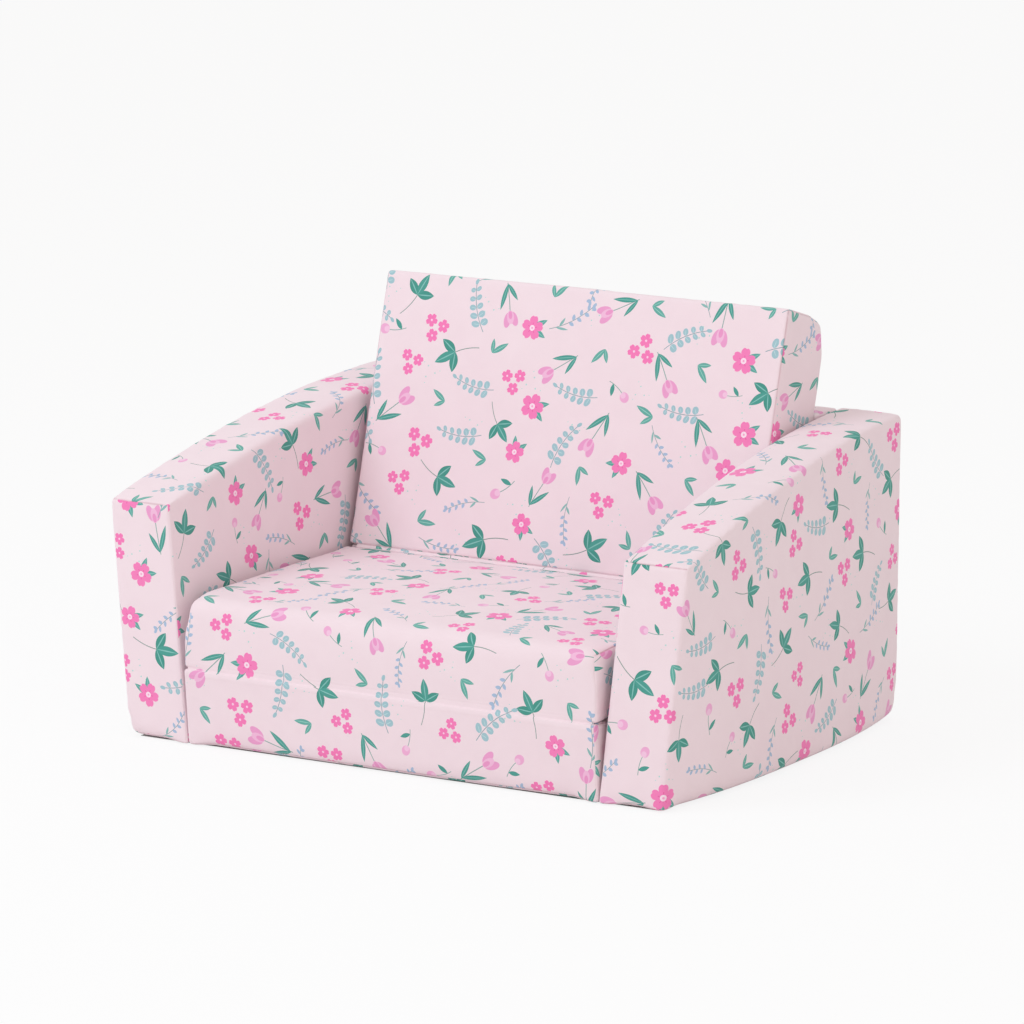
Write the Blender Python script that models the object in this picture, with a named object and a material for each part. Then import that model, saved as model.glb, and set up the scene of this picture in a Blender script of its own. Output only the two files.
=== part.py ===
"""Kids flip open sofa: a foam frame with a fold-out seat pad and backrest.

Metres, +Z up, front towards -Y. Heights count from the floor. Inside the sofa's
empty, depths count from the front plane of the arms, +Y towards the rear.
"""
import math

import bmesh
import bpy
from mathutils import Matrix, Vector

# Frame
BAY_WIDTH = 0.615
ARM_THICKNESS = 0.0925
ARM_FRONT_HEIGHT = 0.310
ARM_REAR_HEIGHT = 0.407
ARM_FRONT_LEAN = 0.016
LEFT_ARM_SPLAY = 0.038
RIGHT_ARM_SPLAY = 0.026
ARM_REAR_SPLAY = 0.004
ARM_TOP_BOW = 1.77
BASE_HEIGHT = 0.1035
BASE_FOOT_SETBACK = 0.010
FRONT_OVERHANG = 0.010
WALL_THICKNESS = 0.0625
WALL_DROP = 0.002

# Seat pad and backrest. The arms lean out, so the pad is a little wider than the bay
SEAT_EXTRA_WIDTH = 0.001
SEAT_DEPTH = 0.395
SEAT_THICKNESS = 0.092
BACK_PLAY = 0.001
BACK_LENGTH = 0.371
BACK_THICKNESS = 0.113
BACK_RECLINE = math.radians(15.4)

# Soft forms
ARM_EDGE_RADIUS = 0.012
BASE_EDGE_RADIUS = 0.009
WALL_EDGE_RADIUS = 0.010
SEAT_EDGE_RADIUS = 0.014
BACK_EDGE_RADIUS = 0.014
HINGE_EDGE_RADIUS = 0.004
SEAT_CROWN = 0.009
SEAT_FRONT_CROWN = 0.004
BACK_CROWN = 0.008
ARM_SIDE_CROWN = 0.004
ARM_TOP_CROWN = 0.003
SIDE_PULL = 0.003

# Cloth, foam and hinges
FABRIC = 0.0012
FOAM_GAP = 0.0005
HINGE_TAPE = 0.0006
HINGE_TAPE_DEPTH = 0.030
HINGE_STANDOFF = 0.003
PANEL_THICKNESS = 0.0015
HEM = 0.022
CLEARANCE = 0.0003
FACE_CLEARANCE = 0.0005
ARM_CLEARANCE = 0.0015

# Zips
ZIP_TAPE_WIDTH = 0.025
ZIP_TAPE_THICKNESS = 0.0010
ZIP_COIL_WIDTH = 0.0044
ZIP_COIL_HEIGHT = 0.0012
ZIP_WALL = 0.0008
ZIP_SLIDER_LENGTH = 0.010
ZIP_END_MARGIN = 0.004
BAIL_LENGTH = 0.0042
BAIL_WIDTH = 0.0016
BAIL_RISE = 0.0016
BAIL_BAR = 0.0008
PULL_BAR = 0.0009
PULL_WIDTH = 0.0052
PULL_LENGTH = 0.020
PULL_THICKNESS = 0.0010
FRAME_ZIP_HEIGHT = 0.055
FRAME_ZIP_INSET = 0.056
SEAT_ZIP_INSET = 0.058
BACK_ZIP_INSET = 0.0605

# Mesh steps and the places of the cuts across a block, as shares of its half size
EDGE_STEPS = 2
WELT_SIDES = 16
MERGE_DISTANCE = 0.000001
ARM_DEPTH_SHARES = (-0.68, -0.42, -0.14, 0.14, 0.42, 0.68)
ARM_HEIGHT_SHARES = (-0.5, 0.0, 0.5)
WIDTH_SHARES = (-0.5, -0.17, 0.17, 0.5)
DEPTH_SHARES = (-0.6, -0.2, 0.2, 0.6)
BACK_SHARES = (-0.30, 0.0, 0.30)
ROUND_SHARE = 1.0 - math.sqrt(0.5)
FLAT_SHARE = 0.99

# Places that follow from the sizes
half_width = BAY_WIDTH / 2 + ARM_THICKNESS
block_width = BAY_WIDTH - 2 * ARM_CLEARANCE
seat_width = BAY_WIDTH + SEAT_EXTRA_WIDTH
back_width = BAY_WIDTH - BACK_PLAY
frame_zip_length = block_width - 2 * FRAME_ZIP_INSET
seat_zip_length = seat_width - 2 * SEAT_ZIP_INSET
back_zip_length = BACK_LENGTH - 2 * BACK_ZIP_INSET
block_floor = PANEL_THICKNESS + CLEARANCE
base_top = BASE_HEIGHT - HINGE_TAPE / 2 - CLEARANCE
seat_bottom = HINGE_TAPE / 2 + CLEARANCE
front_hinge = Vector((0, -FRONT_OVERHANG, BASE_HEIGHT))
back_hinge = front_hinge + Vector((
    0, FACE_CLEARANCE + SEAT_DEPTH + HINGE_STANDOFF, seat_bottom + SEAT_THICKNESS))
lean = Vector((math.cos(BACK_RECLINE), math.sin(BACK_RECLINE)))
wall_top = ARM_REAR_HEIGHT - WALL_DROP
wall_round_height = wall_top - WALL_EDGE_RADIUS
back_rear = back_hinge.y + (BACK_THICKNESS + (wall_round_height - back_hinge.z) * lean.y) / lean.x
wall_front = back_rear - WALL_EDGE_RADIUS + (WALL_EDGE_RADIUS + FACE_CLEARANCE) / lean.x
sofa_depth = wall_front + WALL_THICKNESS
hinge_edge = ROUND_SHARE * HINGE_EDGE_RADIUS
welt_radius = math.hypot(HINGE_STANDOFF + hinge_edge, hinge_edge) - CLEARANCE
ledge_front = back_hinge.y + welt_radius + CLEARANCE
block_rear = wall_front - FACE_CLEARANCE


def clear_scene():
    for item in list(bpy.data.objects):
        bpy.data.objects.remove(item, do_unlink=True)


def finish_material(name, colour, roughness, metallic=0.0):
    material = bpy.data.materials.new(name)
    material.use_nodes = True
    shader = material.node_tree.nodes["Principled BSDF"]
    shader.inputs["Base Color"].default_value = (*colour, 1.0)
    shader.inputs["Roughness"].default_value = roughness
    shader.inputs["Metallic"].default_value = metallic
    return material


def printed_fabric(name):
    return finish_material(name + "_print", (0.87, 0.73, 0.76), 0.85)


def cut_foam(name):
    return finish_material(name + "_foam", (0.86, 0.82, 0.62), 0.95)


def woven_tape(name):
    return finish_material(name + "_tape", (0.84, 0.70, 0.74), 0.80)


def felted_panel(name):
    return finish_material(name + "_felt", (0.55, 0.54, 0.55), 0.95)


def nickel(name):
    return finish_material(name + "_nickel", (0.66, 0.64, 0.61), 0.30, 1.0)


def add_empty(name, place, parent=None, turn=0.0):
    empty = bpy.data.objects.new(name, None)
    bpy.context.collection.objects.link(empty)
    empty.location = place
    empty.rotation_euler = (turn, 0, 0)
    empty.parent = parent
    return empty


def add_piece(name, bm, material, parent, frame=None):
    bmesh.ops.recalc_face_normals(bm, faces=bm.faces)
    mesh = bpy.data.meshes.new(name)
    bm.to_mesh(mesh)
    bm.free()
    mesh.materials.append(material)
    piece = bpy.data.objects.new(name, mesh)
    bpy.context.collection.objects.link(piece)
    piece.parent = parent
    if frame is not None:
        piece.matrix_basis = frame
    return piece


def both_ways(*places):
    """The places and their mirror images, in order."""
    return sorted([-place for place in places] + list(places))


def soft_block(size, radius, cuts, tight=()):
    """A block round its middle, with round edges and cut lines across its faces.

    tight lists edges that stay nearly sharp, each as (axis, side, axis, side).
    """
    bm = bmesh.new()
    bmesh.ops.create_cube(bm, size=1.0)
    bmesh.ops.scale(bm, vec=size, verts=bm.verts)
    bmesh.ops.bevel(bm, geom=bm.edges[:], offset=radius, offset_type='OFFSET',
                    segments=EDGE_STEPS, profile=0.5, affect='EDGES')
    sharpen = ROUND_SHARE * (radius - HINGE_EDGE_RADIUS)
    for axis_a, side_a, axis_b, side_b in tight:
        for vert in bm.verts:
            gap_a = size[axis_a] / 2 - side_a * vert.co[axis_a]
            gap_b = size[axis_b] / 2 - side_b * vert.co[axis_b]
            if max(gap_a, gap_b) < radius / 2:
                vert.co[axis_a] += side_a * sharpen
                vert.co[axis_b] += side_b * sharpen
    for axis, places in enumerate(cuts):
        normal = Vector([float(axis == other) for other in range(3)])
        for place in places:
            bmesh.ops.bisect_plane(bm, geom=bm.verts[:] + bm.edges[:] + bm.faces[:],
                                   dist=MERGE_DISTANCE, plane_co=normal * place, plane_no=normal)
    return bm


def open_mouth(bm, axis, side, low, high):
    """Remove the faces of one side whose middles lie between low and high."""
    mouth = []
    for face in bm.faces:
        middle = face.calc_center_median()
        inside = all(low[k] < middle[k] < high[k] for k in range(3) if k != axis)
        if inside and side * face.normal[axis] > FLAT_SHARE:
            mouth.append(face)
    bmesh.ops.delete(bm, geom=mouth, context='FACES')


def warp(bm, shape):
    for vert in bm.verts:
        vert.co = shape(vert.co.copy())
    bm.normal_update()


def draw_in(bm, depth):
    """Move the whole surface inwards by depth, each face parallel to itself."""
    moves = [(vert, vert.normal * vert.calc_shell_factor() * depth) for vert in bm.verts]
    for vert, move in moves:
        vert.co -= move


def covered_foam(name, size, radius, cuts, shape, mouth, parent, tight=()):
    """A foam block and the fabric cover round it, open where its zip or panel goes."""
    cloth = soft_block(size, radius, cuts, tight)
    cloth.normal_update()
    core = cloth.copy()
    open_mouth(cloth, *mouth)
    warp(cloth, shape)
    cover = add_piece(name + "_cover", cloth, printed_fabric(name), parent)
    wall = cover.modifiers.new("Fabric", 'SOLIDIFY')
    wall.thickness = FABRIC
    wall.offset = -1.0
    wall.use_even_offset = True
    warp(core, shape)
    draw_in(core, FABRIC + FOAM_GAP)
    foam = add_piece(name + "_foam", core, cut_foam(name), parent)
    return cover, foam


def swell(co, half, axis):
    """One in the middle of a face square to axis, falling to zero at its edges."""
    height = 1.0
    for other in range(3):
        if other != axis:
            height *= max(0.0, 1.0 - (co[other] / half[other]) ** 2)
    return height


def side_weight(co, half, axis, side):
    """Zero at a block's far side, one at the named side."""
    return min(1.0, max(0.0, (1.0 + side * co[axis] / half[axis]) / 2))


def hemmed_bottom(half):
    """The open underside of a cover, inside its turned-in hem."""
    reach = [value - HEM for value in half]
    return (2, -1, [-value for value in reach], reach)


def outline_piece(name, points, length, material, parent, frame=None):
    """A closed outline in the YZ plane, drawn out along X and centred on it."""
    bm = bmesh.new()
    verts = [bm.verts.new((-length / 2, y, z)) for y, z in points]
    face = bm.faces.new(verts)
    drawn = bmesh.ops.extrude_face_region(bm, geom=[face])
    moved = [item for item in drawn["geom"] if isinstance(item, bmesh.types.BMVert)]
    bmesh.ops.translate(bm, verts=moved, vec=(length, 0, 0))
    return add_piece(name, bm, material, parent, frame)


def make_arm(name, side, splay, parent):
    height = ARM_REAR_HEIGHT - block_floor
    size = (ARM_THICKNESS, sofa_depth, height)
    half = [s / 2 for s in size]
    middle = Vector((side * (half_width - half[0]), half[1], block_floor + half[2]))

    def shape(co):
        depth_share = side_weight(co, half, 1, 1)
        rise_share = side_weight(co, half, 2, 1)
        drop = (ARM_REAR_HEIGHT - ARM_FRONT_HEIGHT) * (1.0 - depth_share) ** ARM_TOP_BOW
        outward = splay + (ARM_REAR_SPLAY - splay) * depth_share
        bulge = ARM_SIDE_CROWN * swell(co, half, 0) * side_weight(co, half, 0, side)
        lift = ARM_TOP_CROWN * swell(co, half, 2) * side_weight(co, half, 2, 1)
        return middle + Vector((
            co.x + side * (outward * rise_share + bulge),
            co.y + ARM_FRONT_LEAN * rise_share * (1.0 - depth_share),
            co.z - drop * rise_share + lift))

    mouth_x, mouth_y = half[0] - HEM, half[1] - HEM
    cuts = (both_ways(mouth_x),
            both_ways(mouth_y) + [share * half[1] for share in ARM_DEPTH_SHARES],
            [share * half[2] for share in ARM_HEIGHT_SHARES])
    return covered_foam(name, size, ARM_EDGE_RADIUS, cuts, shape,
                        hemmed_bottom(half), parent)


def make_base(parent):
    front = front_hinge.y + FACE_CLEARANCE
    size = (block_width, block_rear - front, base_top - block_floor)
    half = [s / 2 for s in size]
    middle = Vector((0, front + half[1], block_floor + half[2]))

    def shape(co):
        foot = side_weight(co, half, 2, -1) * side_weight(co, half, 1, -1)
        return middle + co + Vector((0, BASE_FOOT_SETBACK * foot, 0))

    mouth_x, mouth_y = half[0] - HEM, half[1] - HEM
    cuts = (both_ways(mouth_x) + [share * half[0] for share in WIDTH_SHARES],
            both_ways(mouth_y) + [share * half[1] for share in BACK_SHARES], ())
    return covered_foam("base", size, BASE_EDGE_RADIUS, cuts, shape,
                        hemmed_bottom(half), parent, tight=((1, -1, 2, 1),))


def make_ledge(parent):
    """The block behind the pad. Its sloping top carries the foot of the backrest."""
    bottom = base_top + CLEARANCE
    foot_rise = HINGE_STANDOFF - CLEARANCE

    def top_at(depth):
        return back_hinge.z + (foot_rise - (depth - back_hinge.y) * lean.y) / lean.x

    front_top = top_at(ledge_front)
    size = (block_width, block_rear - ledge_front, front_top - bottom)
    half = [s / 2 for s in size]
    middle = Vector((0, ledge_front + half[1], bottom + half[2]))

    def shape(co):
        place = middle + co
        place.z += (top_at(place.y) - front_top) * side_weight(co, half, 2, 1)
        return place

    mouth_x, mouth_y = half[0] - HEM, half[1] - HEM
    cuts = (both_ways(mouth_x) + [share * half[0] for share in WIDTH_SHARES],
            both_ways(mouth_y), ())
    return covered_foam("rear_ledge", size, BASE_EDGE_RADIUS, cuts, shape,
                        hemmed_bottom(half), parent, tight=((1, -1, 2, 1),))


def make_rear_wall(parent):
    size = (block_width, WALL_THICKNESS, wall_top - block_floor)
    half = [s / 2 for s in size]
    middle = Vector((0, wall_front + half[1], block_floor + half[2]))
    zip_middle = FRAME_ZIP_HEIGHT - middle.z
    slot_low = zip_middle - ZIP_TAPE_WIDTH / 2 - CLEARANCE
    slot_high = zip_middle + ZIP_TAPE_WIDTH / 2 + CLEARANCE
    slot_end = frame_zip_length / 2 + CLEARANCE

    def shape(co):
        lift = ARM_TOP_CROWN * swell(co, half, 2) * side_weight(co, half, 2, 1)
        return middle + co + Vector((0, 0, lift))

    cloth_cuts = (both_ways(slot_end) + [share * half[0] for share in WIDTH_SHARES], (),
                  [slot_low, slot_high, 0.0])
    slot = (1, 1, (-slot_end, 0, slot_low), (slot_end, 0, slot_high))
    return covered_foam("rear_wall", size, WALL_EDGE_RADIUS, cloth_cuts, shape, slot, parent)


def make_underside(parent):
    inset = ARM_EDGE_RADIUS
    width = 2 * half_width - 2 * inset
    points = ((inset, 0), (sofa_depth - inset, 0),
              (sofa_depth - inset, PANEL_THICKNESS), (inset, PANEL_THICKNESS))
    return outline_piece("underside_panel", points, width, felted_panel("underside"), parent)


def make_front_hinge(parent):
    """The hinge tape, sewn on top of the base, with its fold on the hinge axis."""
    half = HINGE_TAPE / 2
    rear = FACE_CLEARANCE + SEAT_EDGE_RADIUS + HINGE_TAPE_DEPTH
    points = ((-half, -half), (rear, -half), (rear, half), (-half, half))
    frame = Matrix.Translation(front_hinge)
    width = seat_width - 2 * SEAT_EDGE_RADIUS
    return outline_piece("front_hinge_strip", points, width, woven_tape("front_hinge"), parent, frame)


def make_welt(parent):
    """The rolled fabric edge that joins the pad and the backrest, round the hinge axis."""
    points = []
    for step in range(WELT_SIDES):
        angle = math.tau * step / WELT_SIDES
        points.append((welt_radius * math.cos(angle), welt_radius * math.sin(angle)))
    width = back_width - 2 * BACK_EDGE_RADIUS
    welt = outline_piece("rear_hinge_welt", points, width, printed_fabric("rear_hinge"), parent)
    return welt


def make_seat(hinge):
    size = (seat_width, SEAT_DEPTH, SEAT_THICKNESS)
    half = [s / 2 for s in size]
    middle = Vector((0, FACE_CLEARANCE + half[1], seat_bottom + half[2]))
    slot_end = seat_zip_length / 2 + CLEARANCE
    slot_half = ZIP_TAPE_WIDTH / 2 + CLEARANCE

    def shape(co):
        sides = SIDE_PULL * swell(co, half, 0) * co.x / half[0]
        front = SEAT_FRONT_CROWN * (1.0 - swell(co, half, 1)) * side_weight(co, half, 1, -1)
        crown = SEAT_CROWN * swell(co, half, 2) * side_weight(co, half, 2, 1)
        return middle + co + Vector((-sides, front, crown))

    cuts = (both_ways(slot_end) + [share * half[0] for share in WIDTH_SHARES],
            [share * half[1] for share in DEPTH_SHARES],
            both_ways(slot_half))
    slot = (1, 1, (-slot_end, 0, -slot_half), (slot_end, 0, slot_half))
    covered_foam("seat", size, SEAT_EDGE_RADIUS, cuts, shape, slot, hinge,
                 tight=((1, -1, 2, -1), (1, 1, 2, 1)))
    return middle + Vector((0, half[1], 0))


def make_back(hinge):
    """The backrest, in its own leaning frame: Y through it, Z up along it."""
    size = (back_width, BACK_THICKNESS, BACK_LENGTH)
    half = [s / 2 for s in size]
    middle = Vector((0, half[1], HINGE_STANDOFF + half[2]))
    slot_end = back_zip_length / 2 + CLEARANCE
    slot_half = ZIP_TAPE_WIDTH / 2 + CLEARANCE

    def shape(co):
        crown = BACK_CROWN * swell(co, half, 1) * side_weight(co, half, 1, -1)
        top = ARM_TOP_CROWN * swell(co, half, 2) * side_weight(co, half, 2, 1)
        return middle + co + Vector((0, -crown, top))

    cuts = ([share * half[0] for share in WIDTH_SHARES],
            both_ways(slot_half),
            both_ways(slot_end) + [share * half[2] for share in BACK_SHARES])
    slot = (0, -1, (0, -slot_half, -slot_end), (0, slot_half, slot_end))
    covered_foam("back", size, BACK_EDGE_RADIUS, cuts, shape, slot, hinge,
                 tight=((1, -1, 2, -1),))
    return middle - Vector((half[0], 0, 0))


def zip_frame(place, along, normal):
    """A matrix with X along the zip and Z out of the fabric."""
    across = normal.cross(along)
    turn = Matrix((along, across, normal)).transposed()
    return Matrix.Translation(place) @ turn.to_4x4()


def hidden_helper(name, bm, parent, frame):
    """A guide shape that a modifier reads and no view shows."""
    guide = add_piece(name, bm, nickel(name), parent, frame)
    guide.hide_render = True
    guide.display_type = 'WIRE'
    return guide


def box_mesh(low, high):
    bm = bmesh.new()
    bmesh.ops.create_cube(bm, size=1.0)
    size = Vector(high) - Vector(low)
    bmesh.ops.scale(bm, vec=size, verts=bm.verts)
    bmesh.ops.translate(bm, verts=bm.verts, vec=(Vector(high) + Vector(low)) / 2)
    return bm


def boolean(piece, helper, operation):
    cut = piece.modifiers.new(operation.title(), 'BOOLEAN')
    cut.operation = operation
    cut.solver = 'EXACT'
    cut.object = helper


def make_zip(name, frame, length, parent):
    """Tape and coil in the cover's slot, with a slider at one end and its pull tab."""
    half_tape = ZIP_TAPE_WIDTH / 2
    half_coil = ZIP_COIL_WIDTH / 2
    points = ((-half_tape, -ZIP_TAPE_THICKNESS), (half_tape, -ZIP_TAPE_THICKNESS), (half_tape, 0),
              (half_coil, 0), (half_coil, ZIP_COIL_HEIGHT), (-half_coil, ZIP_COIL_HEIGHT),
              (-half_coil, 0), (-half_tape, 0))
    outline_piece(name + "_zip_tape", points, length, woven_tape(name), parent, frame)

    inner = half_coil + CLEARANCE
    outer = inner + ZIP_WALL
    roof = ZIP_COIL_HEIGHT + CLEARANCE
    top = roof + ZIP_WALL
    start = ZIP_END_MARGIN + ZIP_SLIDER_LENGTH / 2 - length / 2
    slider_frame = frame @ Matrix.Translation((start, 0, 0))
    channel = ((-outer, CLEARANCE), (-inner, CLEARANCE), (-inner, roof), (inner, roof),
               (inner, CLEARANCE), (outer, CLEARANCE), (outer, top), (-outer, top))
    slider = outline_piece(name + "_zip_slider", channel, ZIP_SLIDER_LENGTH, nickel(name + "_slider"),
                           parent, slider_frame)
    bail_top = top + BAIL_RISE + BAIL_BAR
    bail = box_mesh((-BAIL_LENGTH / 2, -BAIL_WIDTH / 2, top - ZIP_WALL / 2),
                    (BAIL_LENGTH / 2, BAIL_WIDTH / 2, bail_top))
    boolean(slider, hidden_helper(name + "_bail", bail, parent, slider_frame), 'UNION')
    eye_x = BAIL_LENGTH / 2 - BAIL_BAR
    eye = box_mesh((-eye_x, -BAIL_WIDTH, top), (eye_x, BAIL_WIDTH, top + BAIL_RISE))
    boolean(slider, hidden_helper(name + "_bail_eye", eye, parent, slider_frame), 'DIFFERENCE')

    pull_frame = slider_frame @ Matrix.Translation((0, 0, top + BAIL_RISE / 2))
    plate = box_mesh((-PULL_BAR / 2, -PULL_WIDTH / 2, -PULL_THICKNESS / 2),
                     (PULL_LENGTH, PULL_WIDTH / 2, PULL_THICKNESS / 2))
    pull = add_piece(name + "_zip_pull", plate, nickel(name + "_pull"), parent, pull_frame)
    window_half = BAIL_WIDTH / 2 + FACE_CLEARANCE
    window_end = math.hypot(BAIL_LENGTH / 2, BAIL_RISE / 2 + BAIL_BAR) + FACE_CLEARANCE
    window = box_mesh((PULL_BAR / 2, -window_half, -PULL_THICKNESS),
                      (window_end, window_half, PULL_THICKNESS))
    boolean(pull, hidden_helper(name + "_pull_window", window, parent, pull_frame), 'DIFFERENCE')


def main():
    clear_scene()
    along_x, along_y, along_z = Matrix.Identity(3)
    sofa = add_empty("sofa", (0, -sofa_depth / 2, 0))
    make_arm("left_arm", -1, LEFT_ARM_SPLAY, sofa)
    make_arm("right_arm", 1, RIGHT_ARM_SPLAY, sofa)
    make_base(sofa)
    make_ledge(sofa)
    make_rear_wall(sofa)
    make_underside(sofa)
    make_front_hinge(sofa)
    frame_zip = zip_frame(Vector((0, sofa_depth, FRAME_ZIP_HEIGHT)), along_x, along_y)
    make_zip("frame", frame_zip, frame_zip_length, sofa)

    seat_hinge = add_empty("seat_hinge", front_hinge, sofa)
    seat_rear = make_seat(seat_hinge)
    make_zip("seat", zip_frame(seat_rear, along_x, along_y), seat_zip_length, seat_hinge)

    fold_hinge = add_empty("back_hinge", back_hinge, sofa, -BACK_RECLINE)
    make_welt(fold_hinge)
    back_side = make_back(fold_hinge)
    make_zip("back", zip_frame(back_side, along_z, -along_x), back_zip_length, fold_hinge)


main()
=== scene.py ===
"""Kids flip open sofa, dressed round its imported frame.

Metres, +Z up, front towards -Y, as in the frame. Foam blocks in printed covers, with cloth hinges
and zips. A block's panels have a letter each: L and R are its left and right as seen from the
front, F and B its front and back, U its upper side and D its underside.
"""
import functools
import itertools
import math

import bmesh
import bpy
import numpy as np
from mathutils import Matrix, Vector, kdtree, noise


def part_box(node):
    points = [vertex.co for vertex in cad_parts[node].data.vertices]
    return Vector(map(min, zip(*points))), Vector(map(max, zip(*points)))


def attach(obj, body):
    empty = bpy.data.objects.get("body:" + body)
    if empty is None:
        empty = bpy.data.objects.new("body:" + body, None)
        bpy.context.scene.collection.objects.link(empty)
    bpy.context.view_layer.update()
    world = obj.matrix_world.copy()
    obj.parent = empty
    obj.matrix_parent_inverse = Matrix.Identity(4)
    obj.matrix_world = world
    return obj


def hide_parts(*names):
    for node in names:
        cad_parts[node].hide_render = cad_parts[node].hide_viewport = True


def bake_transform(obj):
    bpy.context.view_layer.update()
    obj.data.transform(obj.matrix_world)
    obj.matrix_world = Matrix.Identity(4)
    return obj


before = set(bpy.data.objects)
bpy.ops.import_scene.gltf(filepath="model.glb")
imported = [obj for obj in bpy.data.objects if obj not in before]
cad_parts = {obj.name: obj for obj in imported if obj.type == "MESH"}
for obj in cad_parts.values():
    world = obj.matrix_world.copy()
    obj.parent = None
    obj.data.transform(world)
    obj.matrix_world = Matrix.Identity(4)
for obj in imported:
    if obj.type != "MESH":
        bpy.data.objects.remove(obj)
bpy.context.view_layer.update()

# The foam blocks at rest, as (lowest corner, highest corner). The lowest ones lie on the felt. The
# backrest's counts from its hinge in its own leaning frame.
LEFT_ARM_BLOCK = ((-0.400, -0.311943, 0.0009), (-0.3075, 0.311943, 0.407))
RIGHT_ARM_BLOCK = ((0.3075, -0.311943, 0.0009), (0.400, 0.311943, 0.407))
BASE_BLOCK = ((-0.306, -0.321443, 0.0009), (0.306, 0.248943, 0.1029))
LEDGE_BLOCK = ((-0.306, 0.080890, 0.1032), (0.306, 0.248943, 0.197707))
WALL_BLOCK = ((-0.306, 0.249443, 0.0009), (0.306, 0.311943, 0.405))
SEAT_BLOCK = ((-0.308, -0.321443, 0.1041), (0.308, 0.073557, 0.1961))
BACK_BLOCK = ((-0.307, 0.0, 0.003), (0.307, 0.113, 0.374))
FRONT_HINGE = Vector((0, -0.321943, 0.1035))
BACK_HINGE = Vector((0, 0.076557, 0.1961))
BACK_RECLINE = math.radians(15.4)
SAME_PLACE = 1e-5

# How the blocks are cut
LEFT_ARM_SPLAY = 0.038
RIGHT_ARM_SPLAY = 0.026
ARM_REAR_SPLAY = 0.004
ARM_FRONT_DROP = 0.097
ARM_FRONT_LEAN = 0.016
ARM_TOP_BOW = 1.77
BASE_FOOT_SETBACK = 0.010
BASE_FOOT_SWELL = 0.004

# How far the filling lifts the cloth
SEAT_CROWN = 0.009
SEAT_FRONT_CROWN = 0.004
BACK_CROWN = 0.008
ARM_SIDE_CROWN = 0.004
TOP_CROWN = 0.003
LEFT_FOOT_SWELL = 0.021
RIGHT_FOOT_SWELL = 0.028
FOOT_SWELL_RISE_POWER = 1.5
FOOT_SWELL_END_POWER = 1.3
ARM_CORNER_LIFT = 0.003
FRONT_CORNER_LIFT_SHARE = 0.35
SIDE_PULL = 0.004
END_PRESS = 0.0008

# Covers
COVER_RADIUS = 0.0085
SEWN_CORNER_RADIUS = 0.004
HINGE_RADIUS = 0.004
FOOT_RADIUS = 0.017
ARM_INNER_RADIUS = 0.006
ARM_FOLD_RADIUS = 0.010
ARM_FRONT_RADIUS = 0.0065
PAD_NOSE_RADIUS = 0.021
BACK_FRONT_RADIUS = 0.005
BACK_REAR_RADIUS = 0.022
EDGE_CHANGE_REACH = 0.030
CLOTH_STEP = 0.0095
CLOTH_THICKNESS = 0.0005
EDGE_LINE_SHARES = (0.15, 0.5, 1.0)
# The print runs on from the base's front to the pad's, and so does its place on the cloth
FRONT_PRINT_START = 2.0
# Each panel's axis, and the side of it that the panel is on
PANELS = {"L": (0, -1), "R": (0, 1), "F": (1, -1), "B": (1, 1), "D": (2, -1), "U": (2, 1)}
# The axis that is up in the print and the one that is to the right, seen from outside: 1 is X,
# 2 is Y and 3 is Z.
PRINT_UPRIGHT = {"L": (3, -2), "R": (3, 2), "F": (3, 1), "B": (3, -1), "D": (2, -1), "U": (2, 1)}
BODIES = {"left_arm": "sofa_frame", "right_arm": "sofa_frame", "base": "sofa_frame",
          "rear_ledge": "sofa_frame", "rear_wall": "sofa_frame", "seat": "seat_panel",
          "back": "back_panel"}

# Filling by cloth simulation
FILLING_FRAMES = 20
FILLING_LIMIT = 0.0045
FILLING_CLOTH = {"quality": 4, "mass": 0.25, "tension_stiffness": 12.0, "compression_stiffness": 12.0,
                 "shear_stiffness": 6.0, "bending_stiffness": 0.6, "use_pressure": True,
                 "uniform_pressure_force": 4.0, "pin_stiffness": 1.0, "vertex_group_mass": "Held",
                 "vertex_group_shrink": "Seamed", "shrink_min": -0.012, "shrink_max": 0.02}
LOOSE_CLOTH_SHARE = 0.45
SEAM_SHRINK_REACH = 0.016
WEIGHT_STEPS = 40
CONTACT_REACH = 0.030

# Seams, and the folds that gather along them
SEAM_DEPTH = 0.0007
SEAM_FOLD_DEPTH = 0.0009
SEAM_FOLD_REACH = 0.0012
SEAM_END_REACH = 0.012
PUCKER_HEIGHT = 0.0008
PUCKER_START = 0.002
PUCKER_REACH = 0.011
PUCKER_SPACING = 0.013
SLACK_HEIGHT = 0.0010
SLACK_SPACING = 0.095
SMALL_SLACK_SPACING = 0.034
PRESSED_LOSS = 0.65
TUG_HEIGHT = 0.0012
TUG_REACH = 0.045
TUG_FOLDS = 5

# Hinges
CREASE_LENGTH = 0.606
CREASE_REACH = 0.0125
CREASE_BRIDGE = 0.0055
CREASE_DEPTH = 0.0012
CREASE_END_DEPTH = 0.0034
CREASE_WIDTH_SHARE = 0.27
CREASE_PROUD = 0.0002
CREASE_TUCK = 0.0005
CREASE_TUCK_START = 0.6
HINGE_TAPE_SETBACK = 0.007
HINGE_TAPE_WAVE = 0.00012
ROLL_PRESS = (0.0, 0.0020, -0.0008)
ROLL_END_RADIUS = 0.0014
ROLL_GATHER = 0.00035
ROLL_GATHER_SPACING = 0.012
FELT_THICKNESS = 0.0006
FELT_WAVE = 0.0001

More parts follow.
